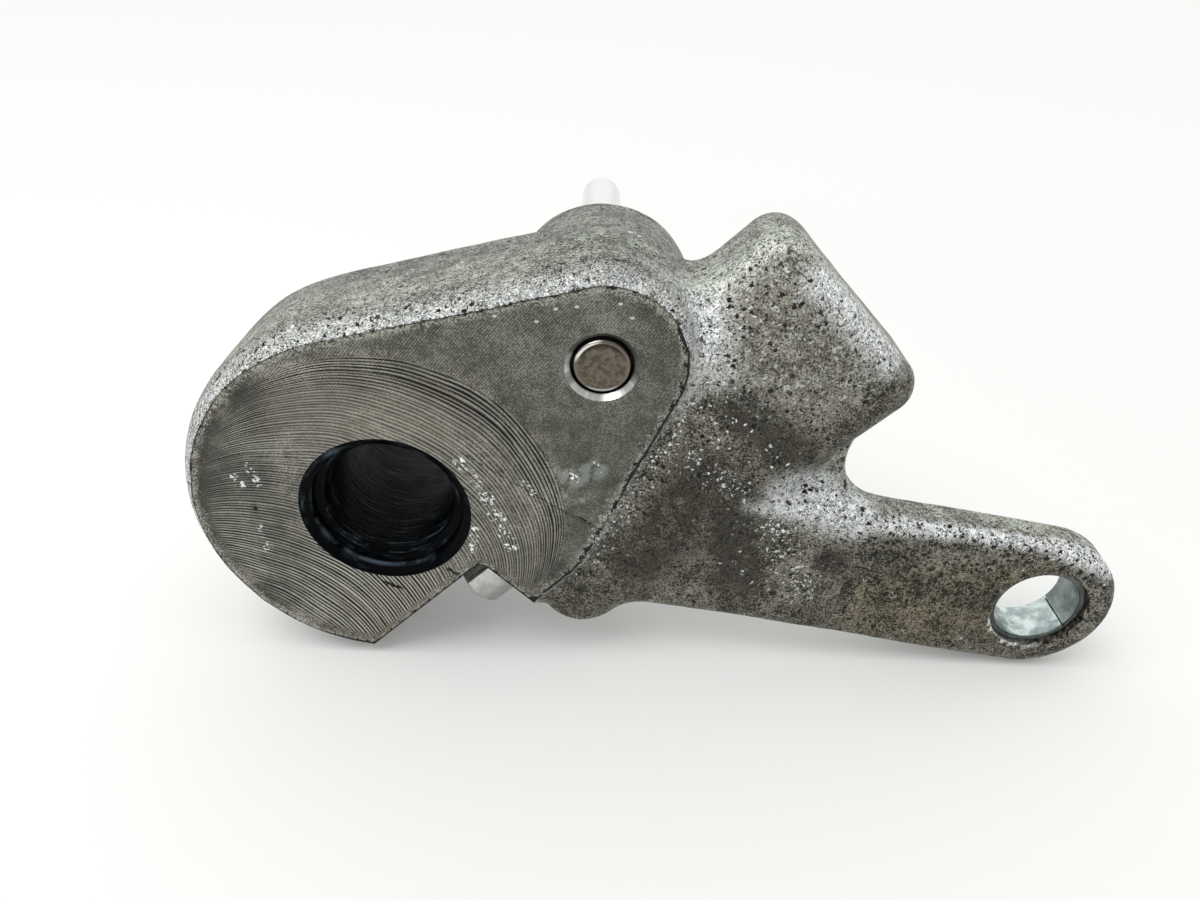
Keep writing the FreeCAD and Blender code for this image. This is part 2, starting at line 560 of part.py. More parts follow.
# Dowel that carries the roller.
SEAT_END = "(Dim.pin_boss_length - Dim.pin_recess)"
JOURNAL_AT = f"({SEAT_END} + Dim.pin_undercut)"
roller_pin = turned("roller_pin", [("0", "0"), ("0", "Dim.pin_radius"),
                                   (SEAT_END, "Dim.pin_radius"),
                                   (SEAT_END, "Dim.pin_undercut_radius"),
                                   (JOURNAL_AT, "Dim.pin_undercut_radius"),
                                   (JOURNAL_AT, "Dim.pin_radius"),
                                   ("Dim.pin_length - Dim.pin_tail", "Dim.pin_radius"),
                                   ("Dim.pin_length", "Dim.pin_radius - Dim.pin_tail"),
                                   ("Dim.pin_length", "0")])
round_edges(roller_pin, lies_at("X", 0), "Dim.pin_nose")
along_y(roller_pin, "Dim.pin_x", f"{FACE} + Dim.pin_recess", "Dim.pin_z")

# Plunger train: rod, piston, check ball and its cage.
plunger = turned("plunger", [("0", "0"), ("0", "Dim.rod_radius - Dim.rod_chamfer"),
                             ("Dim.rod_chamfer", "Dim.rod_radius"), (PISTON_AT, "Dim.rod_radius"),
                             (PISTON_AT, "Dim.spigot_radius"),
                             (f"{PISTON_AT} + Dim.spigot_length", "Dim.spigot_radius"),
                             (f"{PISTON_AT} + Dim.spigot_length", "0")])
on_plunger_axis(plunger)

PISTON_R = "(Dim.barrel_bore_radius - Dim.running_gap)"
piston = turned("piston", [(PISTON_AT, "Dim.spigot_radius"), (PISTON_AT, PISTON_R),
                           (PISTON_END, PISTON_R), (PISTON_END, "Dim.cage_radius"),
                           (f"{SEAT_AT} + Dim.cage_radius - Dim.port_radius", "Dim.cage_radius"),
                           (SEAT_AT, "Dim.port_radius"),
                           (f"{PISTON_AT} + Dim.spigot_length", "Dim.port_radius"),
                           (f"{PISTON_AT} + Dim.spigot_length", "Dim.spigot_radius")])
on_plunger_axis(piston)

check_ball = doc.addObject("Part::Sphere", "check_ball")
check_ball.Label = "check_ball"
bind(check_ball, Radius="Dim.ball_radius")
place(check_ball, f"Dim.tip_x + {BALL_AT} * cos(Dim.plunger_angle * 1 deg)",
      f"{FACE} + Dim.plunger_depth",
      f"Dim.tip_z + {BALL_AT} * sin(Dim.plunger_angle * 1 deg)")

ball_cage = turned("ball_cage", [(CAGE_AT, "Dim.cage_port_radius"), (CAGE_AT, "Dim.cage_radius"),
                                 (f"{CAGE_AT} + Dim.cage_length", "Dim.cage_radius"),
                                 (f"{CAGE_AT} + Dim.cage_length", "Dim.cage_port_radius")])
on_plunger_axis(ball_cage)

# Rod guide, rod seal and retaining ring in the barrel's mouth.
ROD_BORE_R = "(Dim.rod_radius + Dim.running_gap)"
rod_guide = turned("rod_guide", [(GUIDE_AT, "Dim.seal_radius"), (GUIDE_AT, "Dim.guide_radius"),
                                 (GUIDE_END, "Dim.guide_radius"), (GUIDE_END, ROD_BORE_R),
                                 (f"{GUIDE_AT} + Dim.seal_length", ROD_BORE_R),
                                 (f"{GUIDE_AT} + Dim.seal_length", "Dim.seal_radius")])
on_plunger_axis(rod_guide)

rod_seal = turned("rod_seal", [(GUIDE_AT, ROD_BORE_R), (GUIDE_AT, "Dim.seal_radius"),
                               (f"{GUIDE_AT} + Dim.seal_length", "Dim.seal_radius"),
                               (f"{GUIDE_AT} + Dim.seal_length", ROD_BORE_R)])
on_plunger_axis(rod_seal)

retaining_ring = turned("retaining_ring", [(RING_AT, "Dim.ring_bore_radius"), (RING_AT, GROOVE_R),
                                           (GUIDE_AT, GROOVE_R),
                                           (GUIDE_AT, "Dim.ring_bore_radius")],
                        "360 - Dim.ring_gap_angle")
on_plunger_axis(retaining_ring)

# Plunger spring between the piston and the floor of the bore.
SPRING_FROM = f"({PISTON_END} + Dim.spring_gap + Dim.spring_wire_radius)"
SPRING_TO = f"({BORE_END} - Dim.spring_gap - Dim.spring_wire_radius)"
plunger_spring = new_body("plunger_spring")
wire = new_sketch(plunger_spring, "wire_section", "XY_Plane")
wire_centre = FreeCAD.Vector(number(SPRING_FROM), number("Dim.spring_radius"), 0)
wire.addGeometry(Part.Circle(wire_centre, Z_AXIS, number("Dim.spring_wire_radius")), False)
rule = wire.addConstraint(Sketcher.Constraint("Radius", 0, number("Dim.spring_wire_radius")))
bind(wire, **{f"Constraints[{rule}]": "Dim.spring_wire_radius"})
fix_point(wire, 0, 3, SPRING_FROM, "Dim.spring_radius")
doc.recompute()
coil = plunger_spring.newObject("PartDesign::AdditiveHelix", "spring_coil")
coil.Profile = wire
coil.ReferenceAxis = (wire, ["H_Axis"])
coil.Mode = "height-turns-angle"
bind(coil, Height=f"{SPRING_TO} - {SPRING_FROM}", Turns="Dim.spring_turns")
doc.recompute()
on_plunger_axis(plunger_spring)
doc.recompute()

PIECES = [casting, pivot_bush, eye_bush, roller_pin, plunger, piston, check_ball, ball_cage,
          rod_guide, rod_seal, retaining_ring, plunger_spring]

failed = [item.Name for item in doc.Objects if {"Invalid", "Error"} & set(item.State)]
if failed:
    raise RuntimeError(f"these objects failed: {failed}")
for piece in PIECES:
    if piece.Shape.isNull() or not piece.Shape.isValid() or not piece.Shape.Solids:
        raise RuntimeError(f"{piece.Label} has no valid solid")

os.makedirs("parts", exist_ok=True)
for piece in PIECES:
    piece.Shape.exportStep(os.path.join("parts", piece.Label + ".step"))
    box = piece.Shape.BoundBox
    print(f"{piece.Label}: {len(piece.Shape.Solids)} solid, {piece.Shape.Volume:.0f} mm3, "
          f"{len(piece.Shape.Faces)} faces, {box.XLength:.1f} x {box.YLength:.1f} x {box.ZLength:.1f}")
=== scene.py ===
# %% [markdown]
# # Belt tensioner
# A cast lever with a dark lined pivot bore, a ground dowel for the roller, a spring
# plunger in a slanting barrel and an arm that ends in a small bushed eye. The packed
# model is loaded first and gives the places of all pieces. Its plain solids are then
# dressed: the casting is worked out again as one softly blended body, the turned
# pieces get fine profiles, and each finish is made from procedural nodes.

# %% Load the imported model
import math
from functools import reduce

import bmesh
import bpy
import numpy as np
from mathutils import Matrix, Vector


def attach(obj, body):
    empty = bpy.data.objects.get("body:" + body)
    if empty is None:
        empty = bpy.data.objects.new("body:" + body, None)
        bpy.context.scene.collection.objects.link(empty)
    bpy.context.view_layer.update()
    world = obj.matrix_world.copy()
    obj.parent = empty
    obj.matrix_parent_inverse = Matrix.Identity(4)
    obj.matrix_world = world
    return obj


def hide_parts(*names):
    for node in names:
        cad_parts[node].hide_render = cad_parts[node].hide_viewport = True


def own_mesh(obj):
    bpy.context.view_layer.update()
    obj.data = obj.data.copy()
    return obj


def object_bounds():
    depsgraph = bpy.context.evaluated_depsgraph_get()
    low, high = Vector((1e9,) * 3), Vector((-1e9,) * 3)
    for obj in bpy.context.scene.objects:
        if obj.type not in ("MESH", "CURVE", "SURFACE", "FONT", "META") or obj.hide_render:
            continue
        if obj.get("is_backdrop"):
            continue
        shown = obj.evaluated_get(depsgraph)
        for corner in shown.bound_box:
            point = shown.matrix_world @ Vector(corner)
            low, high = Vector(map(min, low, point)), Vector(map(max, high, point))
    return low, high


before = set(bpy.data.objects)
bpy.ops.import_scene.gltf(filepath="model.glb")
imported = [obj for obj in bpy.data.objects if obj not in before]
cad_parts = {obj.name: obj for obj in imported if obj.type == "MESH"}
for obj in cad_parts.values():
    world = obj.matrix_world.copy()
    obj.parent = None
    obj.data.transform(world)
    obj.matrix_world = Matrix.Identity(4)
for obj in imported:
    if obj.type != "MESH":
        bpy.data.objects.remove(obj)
cad_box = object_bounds()

# %% [markdown]
# ## Camera
# The photograph was taken from above the front, close to the part, with a wide lens.
# The camera stands a good 14 cm away and looks 33 degrees down. Straight lines on the
# machined face then meet the frame's edges as they do in the photograph.

# %% Camera
scene = bpy.context.scene
CAMERA_PLACE = (0.03271, -0.1215, 0.07838)
CAMERA_TILT = 57.0
LENS = 25.5


def add_object(name, data):
    """A new object in the scene that holds the data."""
    made = bpy.data.objects.new(name, data)
    scene.collection.objects.link(made)
    return made


camera_data = bpy.data.cameras.new("camera")
camera_data.lens = LENS
camera_data.sensor_width = 36
camera_data.clip_start = 0.005
camera = add_object("camera", camera_data)
camera.location = CAMERA_PLACE
camera.rotation_euler = (math.radians(CAMERA_TILT), 0, 0)
scene.camera = camera
scene.view_settings.view_transform = "Standard"
print("camera at", CAMERA_PLACE, "tilt", CAMERA_TILT)

# %% [markdown]
# ## Helpers for node trees
# Every finish is a small network of nodes. One helper makes any node and joins its
# inputs. A node's output is held as a Wire, which reads like a number: a sum or product
# of wires adds a Math node, and a | b is the larger of the two.

# %% Nodes and wires
def add_node(tree, kind, settings=None, inputs=None):
    """A node of one kind; inputs maps a socket's name or number to a value or a wire."""
    made = tree.nodes.new(kind)
    for name, value in (settings or {}).items():
        setattr(made, name, value)
    for key, value in (inputs or {}).items():
        if isinstance(value, Wire):
            tree.links.new(value.socket, made.inputs[key])
        else:
            made.inputs[key].default_value = value
    return made


class Wire:
    """A node's output. It joins to other wires and plain numbers by arithmetic."""

    def __init__(self, socket):
        self.socket, self.tree = socket, socket.id_data

    def node(self, kind, settings=None, inputs=None, output=0):
        return Wire(add_node(self.tree, kind, settings, inputs).outputs[output])

    def math(self, operation, *others, clamp=False):
        settings = {"operation": operation, "use_clamp": clamp}
        return self.node("ShaderNodeMath", settings, dict(enumerate((self, *others))))

    def __add__(self, other):
        return self.math("ADD", other)

    def __sub__(self, other):
        return self.math("SUBTRACT", other)

    def __rsub__(self, other):
        return self.math("MULTIPLY_ADD", -1.0, other)

    def __mul__(self, other):
        return self.math("MULTIPLY", other)

    def __or__(self, other):
        return self.math("MAXIMUM", other)

    def step(self, low, high, first=0.0, last=1.0):
        """A smooth step: first below low, last above high."""
        inputs = {"Value": self, "From Min": low, "From Max": high, "To Min": first, "To Max": last}
        return self.node("ShaderNodeMapRange", {"interpolation_type": "SMOOTHSTEP"}, inputs)

    def fall(self, low, high):
        """A smooth step from 1 below low to 0 above high."""
        return self.step(low, high, 1.0, 0.0)

    def vector(self, operation, *others):
        """A vector sum or product; a length, distance or dot product is a number."""
        output = 1 if operation in ("DOT_PRODUCT", "LENGTH", "DISTANCE") else 0
        inputs = dict(enumerate((self, *others)))
        return self.node("ShaderNodeVectorMath", {"operation": operation}, inputs, output)

    def split(self):
        """The three parts of a vector."""
        made = add_node(self.tree, "ShaderNodeSeparateXYZ", None, {0: self})
        return [Wire(socket) for socket in made.outputs]

    def noise(self, scale, detail=2.0, roughness=0.5, distortion=0.0, output=0):
        """Cloudy noise from 0 to 1 at this place, scale in cells per millimetre."""
        inputs = {"Vector": self, "Scale": scale, "Detail": detail, "Roughness": roughness,
                  "Distortion": distortion}
        return self.node("ShaderNodeTexNoise", None, inputs, output)

    def shaken(self, scale, reach):
        """This place moved about by coloured noise, to make straight edges ragged."""
        return self.vector("ADD", self.noise(scale, output="Color").vector("MULTIPLY", reach))


print("wires ready")

# %% More node helpers
def joined(tree, *parts):
    """A vector from up to three numbers."""
    return Wire(add_node(tree, "ShaderNodeCombineXYZ", None, dict(enumerate(parts))).outputs[0])


def mix(share, first, second):
    """Two colours mixed by a share from 0 to 1."""
    return share.node("ShaderNodeMix", {"data_type": "RGBA"}, {0: share, 6: first, 7: second}, 2)


def layered(colour, *layers):
    """A colour with others laid over it in turn; each layer is (share, colour)."""
    for share, over in layers:
        colour = mix(share, colour, over)
    return colour


def object_place(tree):
    """The place on the object, in metres."""
    return Wire(add_node(tree, "ShaderNodeTexCoord").outputs["Object"])


def millimetres(tree):
    """The place on the part in millimetres, from the object's own coordinates."""
    inputs = {"Vector": object_place(tree), "Scale": (1000, 1000, 1000)}
    return Wire(add_node(tree, "ShaderNodeMapping", None, inputs).outputs[0])


def light_path(tree, label):
    """What kind of ray arrives: 1 for the kind asked about, otherwise 0."""
    return Wire(add_node(tree, "ShaderNodeLightPath").outputs[label])


def feed(node, **values):
    """Joins wires to a node's inputs; an underscore in a name stands for a space."""
    for key, wire in values.items():
        wire.tree.links.new(wire.socket, node.inputs[key.replace("_", " ")])


def feed_bump(shader, height, depth):
    """Relief from a height that varies over the surface, depth in metres."""
    bump = height.node("ShaderNodeBump", None, {"Distance": depth, "Height": height})
    feed(shader, Normal=bump)


def new_material(name, **shader_values):
    """A material with one Principled shader; plain values go straight to its sockets."""
    material = bpy.data.materials.new(name)
    material.use_nodes = True
    shader = material.node_tree.nodes["Principled BSDF"]
    for key, value in shader_values.items():
        shader.inputs[key.replace("_", " ")].default_value = value
    return material, material.node_tree, shader


def new_group(name, inputs, outputs):
    """An empty node group: its tree, its inputs by name as wires, and its output node."""
    group = bpy.data.node_groups.new(name, "ShaderNodeTree")
    for label, (kind, value) in inputs.items():
        socket = group.interface.new_socket(label, in_out="INPUT", socket_type="NodeSocket" + kind)
        if value is not None:
            socket.default_value = value
    for label in outputs:
        group.interface.new_socket(label, in_out="OUTPUT", socket_type="NodeSocketFloat")
    sockets = group.nodes.new("NodeGroupInput").outputs
    enter = {label: Wire(sockets[label]) for label in inputs}
    return group, enter, group.nodes.new("NodeGroupOutput")


def use_group(group, **values):
    """The group's outputs by name, with the group placed in the tree of the wires it gets."""
    tree = next(value.tree for value in values.values() if isinstance(value, Wire))
    made = add_node(tree, "ShaderNodeGroup", {"node_tree": group}, values)
    return {socket.name: Wire(socket) for socket in made.outputs}


print("node helpers ready")

# %% [markdown]
# ## Floor, lamp and surroundings
# The part stands on a pale sheet: on the lowest corner of the lobe and on the arm's
# end, so the floor slopes a little. One large soft lamp stands above, left and slightly
# in front, where it catches the rounded upper edges. The world is a plain pale room,
# darker in front and below, and white where the camera looks straight at it. Far from
# the part the sheet fades to white for the camera. Near it the sheet keeps the shadow.

# %% Floor
FLOOR_TOUCH_LEFT = (-0.0076, -0.0301)
FLOOR_TOUCH_RIGHT = (0.1069, -0.0359)
FLOOR_HALF = 6.0
FLOOR_DROP = 0.0001
FLOOR_COLOUR, FADE_COLOUR = (0.71, 0.714, 0.7, 1), (1, 1, 0.985, 1)
FADE_CENTRE = (0.045, -0.03, -0.03)
FADE_FROM, FADE_TO = 0.08, 0.35
FADE_NEAR, FADE_FAR = 0.15, 0.8

slope = ((FLOOR_TOUCH_RIGHT[1] - FLOOR_TOUCH_LEFT[1])
         / (FLOOR_TOUCH_RIGHT[0] - FLOOR_TOUCH_LEFT[0]))


def floor_height(x):
    """Height of the floor line through both points of contact."""
    return FLOOR_TOUCH_LEFT[1] - FLOOR_DROP + slope * (x - FLOOR_TOUCH_LEFT[0])


floor_corners = [(x * FLOOR_HALF, y * FLOOR_HALF, floor_height(x * FLOOR_HALF))
                 for x, y in ((-1, -1), (1, -1), (1, 1), (-1, 1))]
floor_mesh = bpy.data.meshes.new("floor")
floor_mesh.from_pydata(floor_corners, [], [(0, 1, 2, 3)])
floor = add_object("floor", floor_mesh)
floor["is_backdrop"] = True

material, tree, shader = new_material("pale_sheet", Roughness=0.85, Base_Color=FLOOR_COLOUR,
                                      Specular_IOR_Level=0.1)
glow = add_node(tree, "ShaderNodeEmission", None, {"Color": FADE_COLOUR, "Strength": 1.0})
seen = light_path(tree, "Is Camera Ray") | light_path(tree, "Is Glossy Ray")
away = object_place(tree).vector("DISTANCE", FADE_CENTRE)
fade = seen * away.step(FADE_FROM, FADE_TO, FADE_NEAR, FADE_FAR)
surface = add_node(tree, "ShaderNodeMixShader", None,
                   {0: fade, 1: Wire(shader.outputs[0]), 2: Wire(glow.outputs[0])})
feed(tree.nodes["Material Output"], Surface=Wire(surface.outputs[0]))
floor_mesh.materials.append(material)
print("floor slopes by", round(math.degrees(math.atan(slope)), 2), "degrees")

# %% Lamp and world
LAMP_PLACE = (-0.27, -0.17, 0.7)
LAMP_SIZE = 0.55
LAMP_POWER = 3.6
LAMP_AIM = (0.03, 0.0, 0.0)
ROOM_COLOUR = (0.985, 1.0, 0.985, 1)
ROOM_UP, ROOM_AWAY = 0.85, 0.4
ROOM_FROM, ROOM_TO, ROOM_LOW, ROOM_HIGH = -0.3, 0.7, 0.28, 1.2

lamp_data = bpy.data.lights.new("lamp", "AREA")
lamp_data.size = LAMP_SIZE
lamp_data.energy = LAMP_POWER
lamp = add_object("lamp", lamp_data)
lamp.location = LAMP_PLACE
lamp_way = Vector(LAMP_AIM) - Vector(LAMP_PLACE)
lamp.rotation_euler = lamp_way.to_track_quat("-Z", "Y").to_euler()

world = bpy.data.worlds.new("pale_room")
world.use_nodes = True
scene.world = world
tree = world.node_tree
background = tree.nodes["Background"]
background.inputs["Color"].default_value = ROOM_COLOUR
heading = Wire(add_node(tree, "ShaderNodeTexCoord").outputs["Generated"]).split()
climb = heading[2] * ROOM_UP + heading[1] * ROOM_AWAY
room = climb.step(ROOM_FROM, ROOM_TO, ROOM_LOW, ROOM_HIGH)
strength = room.node("ShaderNodeMix", {"data_type": "FLOAT"},
                     {0: light_path(tree, "Is Camera Ray"), 2: room, 3: 1.0})
feed(background, Strength=strength)
print("lamp", LAMP_POWER, "W, room from", ROOM_LOW, "to", ROOM_HIGH)

# %% [markdown]
# ## The casting as a distance field
# A casting has no hard inner corners: boss, barrel and arm flow into each other. Such
# a body is hard to join from separate meshes, and easy as a distance field: a function
# that says for any point how far it lies outside the metal. Two bodies are blended by
# a soft minimum of their fields, and the machine's cuts are taken away with a plain
# maximum, which keeps their edges crisp. All lengths in this step are millimetres.

# %% Field helpers
def smooth_step(value, low, high):
    """0 below low, 1 above high, with a smooth rise between."""
    t = np.clip((value - low) / (high - low), 0, 1)
    return t * t * (3 - 2 * t)


def largest(*fields):
    """Inside where all the fields are inside."""
    return reduce(np.maximum, fields)


def smallest(*fields):
    """Inside where any of the fields is inside."""
    return reduce(np.minimum, fields)


def soft_min(a, b, reach):
    """The smaller of two fields, rounded where they differ by less than reach."""
    h = np.clip(1 - np.abs(a - b) / reach, 0, 1)
    return np.minimum(a, b) - h * h * reach / 4


def corner(a, b, radius):
    """Inside both a and b, with the corner between them rounded by radius."""
    outer = np.hypot(np.maximum(a + radius, 0), np.maximum(b + radius, 0))
    return outer + np.minimum(np.maximum(a, b) + radius, 0) - radius


def slab(flat, y, front, rear, front_round, rear_round):
    """A flat outline given depth along Y, with its front and rear edges rounded."""
    radius = np.where(y < (front + rear) / 2, front_round, rear_round)
    return corner(flat, np.maximum(front - y, y - rear), radius)


def two_discs(x, z, first, second):
    """Distance to the belt round two discs, each (x, z, radius)."""
    ax, az, ar = first
    bx, bz, br = second
    span = math.hypot(bx - ax, bz - az)
    ux, uz = (bx - ax) / span, (bz - az) / span
    along = (x - ax) * ux + (z - az) * uz
    off = np.abs((z - az) * ux - (x - ax) * uz)
    lean = (ar - br) / span
    rise = math.sqrt(1 - lean * lean)
    side = rise * along - lean * off
    flank = lean * along + rise * off - ar
    ends = np.where(side < 0, np.hypot(off, along) - ar, np.hypot(off, along - span) - br)
    return np.where((side < 0) | (side > rise * span), ends, flank)


def ripple(x, y, z, waves):
    """A gentle waviness: the sum of sine waves in fixed, seeded directions."""
    total = np.zeros_like(x)
    for kx, ky, kz, shift, height in waves:
        total += height * np.sin(kx * x + ky * y + kz * z + shift)
    return total


print("field helpers ready")

# %% [markdown]
# The sizes below repeat those of the part's own source, so that the blended body lies
# on its solid. The plunger's axis gives a second frame: "along" runs up the barrel and
# "across" points up and left.

# %% Sizes of the casting
FACE_Y = -18.0
LOBE = (0.0, 0.0, 31.0)
DOWEL_BOSS = (33.0, 24.5, 14.1)
KNEE = (14.55, -0.48, 20.0)
PLATE_FRONT, PLATE_REAR = -19.9, 4.6
PIVOT_REAR, DOWEL_REAR = 18.0, 11.0
DOWEL_X, DOWEL_Z = 33.0, 24.5
TIP_X, TIP_Y, TIP_Z = 11.2, -5.6, -24.1
PLUNGER_ANGLE = math.radians(43)
PLUNGER_COS, PLUNGER_SIN = math.cos(PLUNGER_ANGLE), math.sin(PLUNGER_ANGLE)
MOUTH, BARREL_END = 11.4, 79.8
BARREL_UP, BARREL_DOWN = 17.1, 16.3
BARREL_FRONT, BARREL_REAR = -16.8, 4.0
EYE_X, EYE_Z, EYE_END = 106.9, -22.6, 13.0
ARM_ANGLE = math.radians(11.6)
ARM_FRONT, ARM_REAR = -16.0, -7.5
WEB_FRONT = -12.8
NOTCH_SIDE, NOTCH_ROUND = 8.5, 1.5

rng = np.random.default_rng(7)
WAVES = []
for wave_length, height in ((19, 0.03), (11, 0.02), (6.5, 0.014), (3.9, 0.01)):
    for _ in range(3):
        way = rng.normal(size=3)
        way *= 2 * math.pi / wave_length / np.linalg.norm(way)
        WAVES.append((*way, rng.uniform(0, 2 * math.pi), height))
print("casting between", FACE_Y, "and", PLATE_REAR, "mm; waves:", len(WAVES))

# %% The cast body
UPPER_ROUND, LOWER_ROUND, REAR_ROUND, END_ROUND, HEEL_ROUND = 8.0, 6.0, 7.0, 4.8, 9.5
LUMP_ALONG, LUMP_ACROSS, LUMP_Y = 16.5, -10.0, FACE_Y + 9.0
LUMP_LENGTH, LUMP_WIDTH = 5.5, 7.0
SAG_DEPTH, SAG_AT, SAG_REACH, ARM_LENGTH = 0.55, 45, 24, 78
ROOT_ROUND, ROOT_REACH = 9.0, 21


def plunger_frame(x, z):
    """Along and across of a point, seen from the plunger's tip."""
    dx, dz = x - TIP_X, z - TIP_Z
    return dx * PLUNGER_COS + dz * PLUNGER_SIN, dz * PLUNGER_COS - dx * PLUNGER_SIN


def barrel_field(along, across, y):
    """A long block whose four long edges have their own rounds, like its end."""
    middle_y = (BARREL_FRONT + BARREL_REAR) / 2
    rounds = np.where(y > middle_y, REAR_ROUND, np.where(across > 0, UPPER_ROUND, LOWER_ROUND))
    section = corner(largest(across - BARREL_UP, -BARREL_DOWN - across),
                     largest(BARREL_FRONT - y, y - BARREL_REAR), rounds)
    block = corner(section, along - BARREL_END, END_ROUND)
    block = largest(block, MOUTH - along)
    heel = corner(MOUTH - along, -BARREL_DOWN - across, HEEL_ROUND)
    block = -soft_min(-block, -heel, 1.5)
    lump = np.sqrt(((along - LUMP_ALONG) / LUMP_LENGTH) ** 2
                   + ((across - LUMP_ACROSS) / LUMP_WIDTH) ** 2 + ((y - LUMP_Y) / LUMP_WIDTH) ** 2)
    return largest(soft_min(block, (lump - 1) * LUMP_LENGTH, 3.0), MOUTH - along)


arm_side = np.array([-math.sin(ARM_ANGLE), -math.cos(ARM_ANGLE)])
barrel_side = np.array([-PLUNGER_SIN, PLUNGER_COS])
EYE, TIP = np.array([EYE_X, EYE_Z]), np.array([TIP_X, TIP_Z])
ROOT = np.linalg.solve(np.stack([arm_side, barrel_side]),
                       [arm_side @ EYE - EYE_END - ROOT_ROUND,
                        barrel_side @ TIP - BARREL_DOWN - ROOT_ROUND])
touch_arm = ROOT + arm_side * ROOT_ROUND
touch_barrel = ROOT + barrel_side * ROOT_ROUND
ROOT_EDGE = (touch_arm + touch_barrel) / 2
ROOT_WAY = (ROOT - ROOT_EDGE) / np.linalg.norm(ROOT - ROOT_EDGE)
print("hollow of the arm's root about", ROOT.round(1))


def arm_field(x, z, y):
    """The strip from the eye to the barrel, with the hollow where its top meets the barrel."""
    u = (EYE_X - x) * math.cos(ARM_ANGLE) + (z - EYE_Z) * math.sin(ARM_ANGLE)
    v = (EYE_X - x) * math.sin(ARM_ANGLE) - (z - EYE_Z) * math.cos(ARM_ANGLE)
    sag = SAG_DEPTH * np.exp(-((u - SAG_AT) / SAG_REACH) ** 4) * (v > 0)
    strip = np.where(u < 0, np.hypot(u, v), np.abs(v + sag)) - EYE_END
    strip = largest(strip, u - ARM_LENGTH)
    to_root = np.hypot(x - ROOT[0], z - ROOT[1])
    beyond = (x - ROOT_EDGE[0]) * ROOT_WAY[0] + (z - ROOT_EDGE[1]) * ROOT_WAY[1]
    hollow = largest(ROOT_ROUND - to_root, to_root - ROOT_REACH, beyond)
    ridge = slab(strip, y, ARM_FRONT, ARM_REAR, 2.6, 2.0)
    web = slab(hollow, y, WEB_FRONT, ARM_REAR, 1.8, 2.0)
    flow = 0.4 + 2.6 * smooth_step(WEB_FRONT + 2.0 - y, 0.0, 3.0)
    return soft_min(ridge, web, flow)


def plate_field(x, y, z):
    """The thick plate: three discs and what lies between them, with round edges."""
    plan = smallest(two_discs(x, z, LOBE, DOWEL_BOSS), two_discs(x, z, LOBE, KNEE),
                    two_discs(x, z, KNEE, DOWEL_BOSS))
    return slab(plan, y, PLATE_FRONT, PLATE_REAR, 7.0, 3.0)


def cast_field(x, y, z):
    """The whole body as it came out of the mould."""
    along, across = plunger_frame(x, z)
    plate = plate_field(x, y, z)
    barrel = barrel_field(along, across, y)
    flow = 1.2 + 5.3 * smooth_step(y, -17.5, -12.0) * smooth_step(BARREL_REAR - y, 0.0, 5.0)
    body = soft_min(plate, barrel, flow)
    to_touch = np.hypot(x - touch_barrel[0], z - touch_barrel[1])
    flow = 0.5 + 2.5 * smooth_step(to_touch, 4.0, 11.0)
    body = soft_min(body, arm_field(x, z, y), flow)
    pivot_boss = slab(np.hypot(x, z) - 18.5, y, -7.0, PIVOT_REAR, 1.5, 1.5)
    dowel_boss = slab(np.hypot(x - DOWEL_X, z - DOWEL_Z) - 14.2, y, -7.0, DOWEL_REAR, 1.5, 1.5)
    body = soft_min(soft_min(body, pivot_boss, 1.4), dowel_boss, 1.2)
    return body + ripple(x, y, z, WAVES)


def field_at(field, *point):
    """A field's value at one point, rounded."""
    return round(float(field(*np.array(point, float).reshape(3, 1))[0]), 2)


print("field at the lobe's rim:", field_at(cast_field, -31, 0, 0))

# %% The machine's cuts
PIVOT_SEAT, DOWEL_SEAT, EYE_SEAT = 13.05, 4.0, 8.0
RELIEF_RADIUS, RELIEF_DEPTH, DOWEL_MOUTH, EYE_MOUTH, EYE_SLOPE = 4.4, 2.5, 5.2, 8.5, 1.1
SEAT_RADIUS, SEAT_END, BORE_RADIUS, BORE_START, BORE_END = 8.0, 24.1, 7.0, 9, 71.4
GROOVE_RADIUS, GROOVE_ALONG, GROOVE_HALF = 8.8, 13.5, 0.6


def cut_fields(x, y, z):
    """Fields of what the machine left: facing, notch and bores, positive where cut away.
    A chamfer's field is its radial distance times the cosine of its slope."""
    along, across = plunger_frame(x, z)
    facing = FACE_Y - y
    notch = -corner(across - NOTCH_SIDE, along - MOUTH, NOTCH_ROUND)
    pivot = PIVOT_SEAT - np.hypot(x, z)
    to_dowel = np.hypot(x - DOWEL_X, z - DOWEL_Z)
    relief = smallest(RELIEF_RADIUS - to_dowel, FACE_Y + RELIEF_DEPTH - y)
    chamfer = (DOWEL_MOUTH + FACE_Y - y - to_dowel) * 0.707
    dowel = largest(DOWEL_SEAT - to_dowel, relief, chamfer)
    to_eye = np.hypot(x - EYE_X, z - EYE_Z)
    chamfer = (EYE_MOUTH - EYE_SLOPE * (y - ARM_FRONT) - to_eye) * 0.67
    eye = largest(EYE_SEAT - to_eye, chamfer)
    to_rod = np.hypot(y - TIP_Y, across)
    seat = smallest(SEAT_RADIUS - to_rod, SEAT_END - along)
    groove = smallest(GROOVE_RADIUS - to_rod, GROOVE_HALF - np.abs(along - GROOVE_ALONG))
    narrow = smallest(BORE_RADIUS - to_rod, BORE_END - along)
    bore = smallest(largest(seat, groove, narrow), along - BORE_START)
    bores = largest(pivot, dowel, eye, bore)
    return facing, notch, bores


def casting_field(x, y, z):
    """The finished casting: the cast body without what the machine took away."""
    return largest(cast_field(x, y, z), *cut_fields(x, y, z))


print("field halfway up the barrel's bore:", field_at(casting_field, 45, TIP_Y, 8))

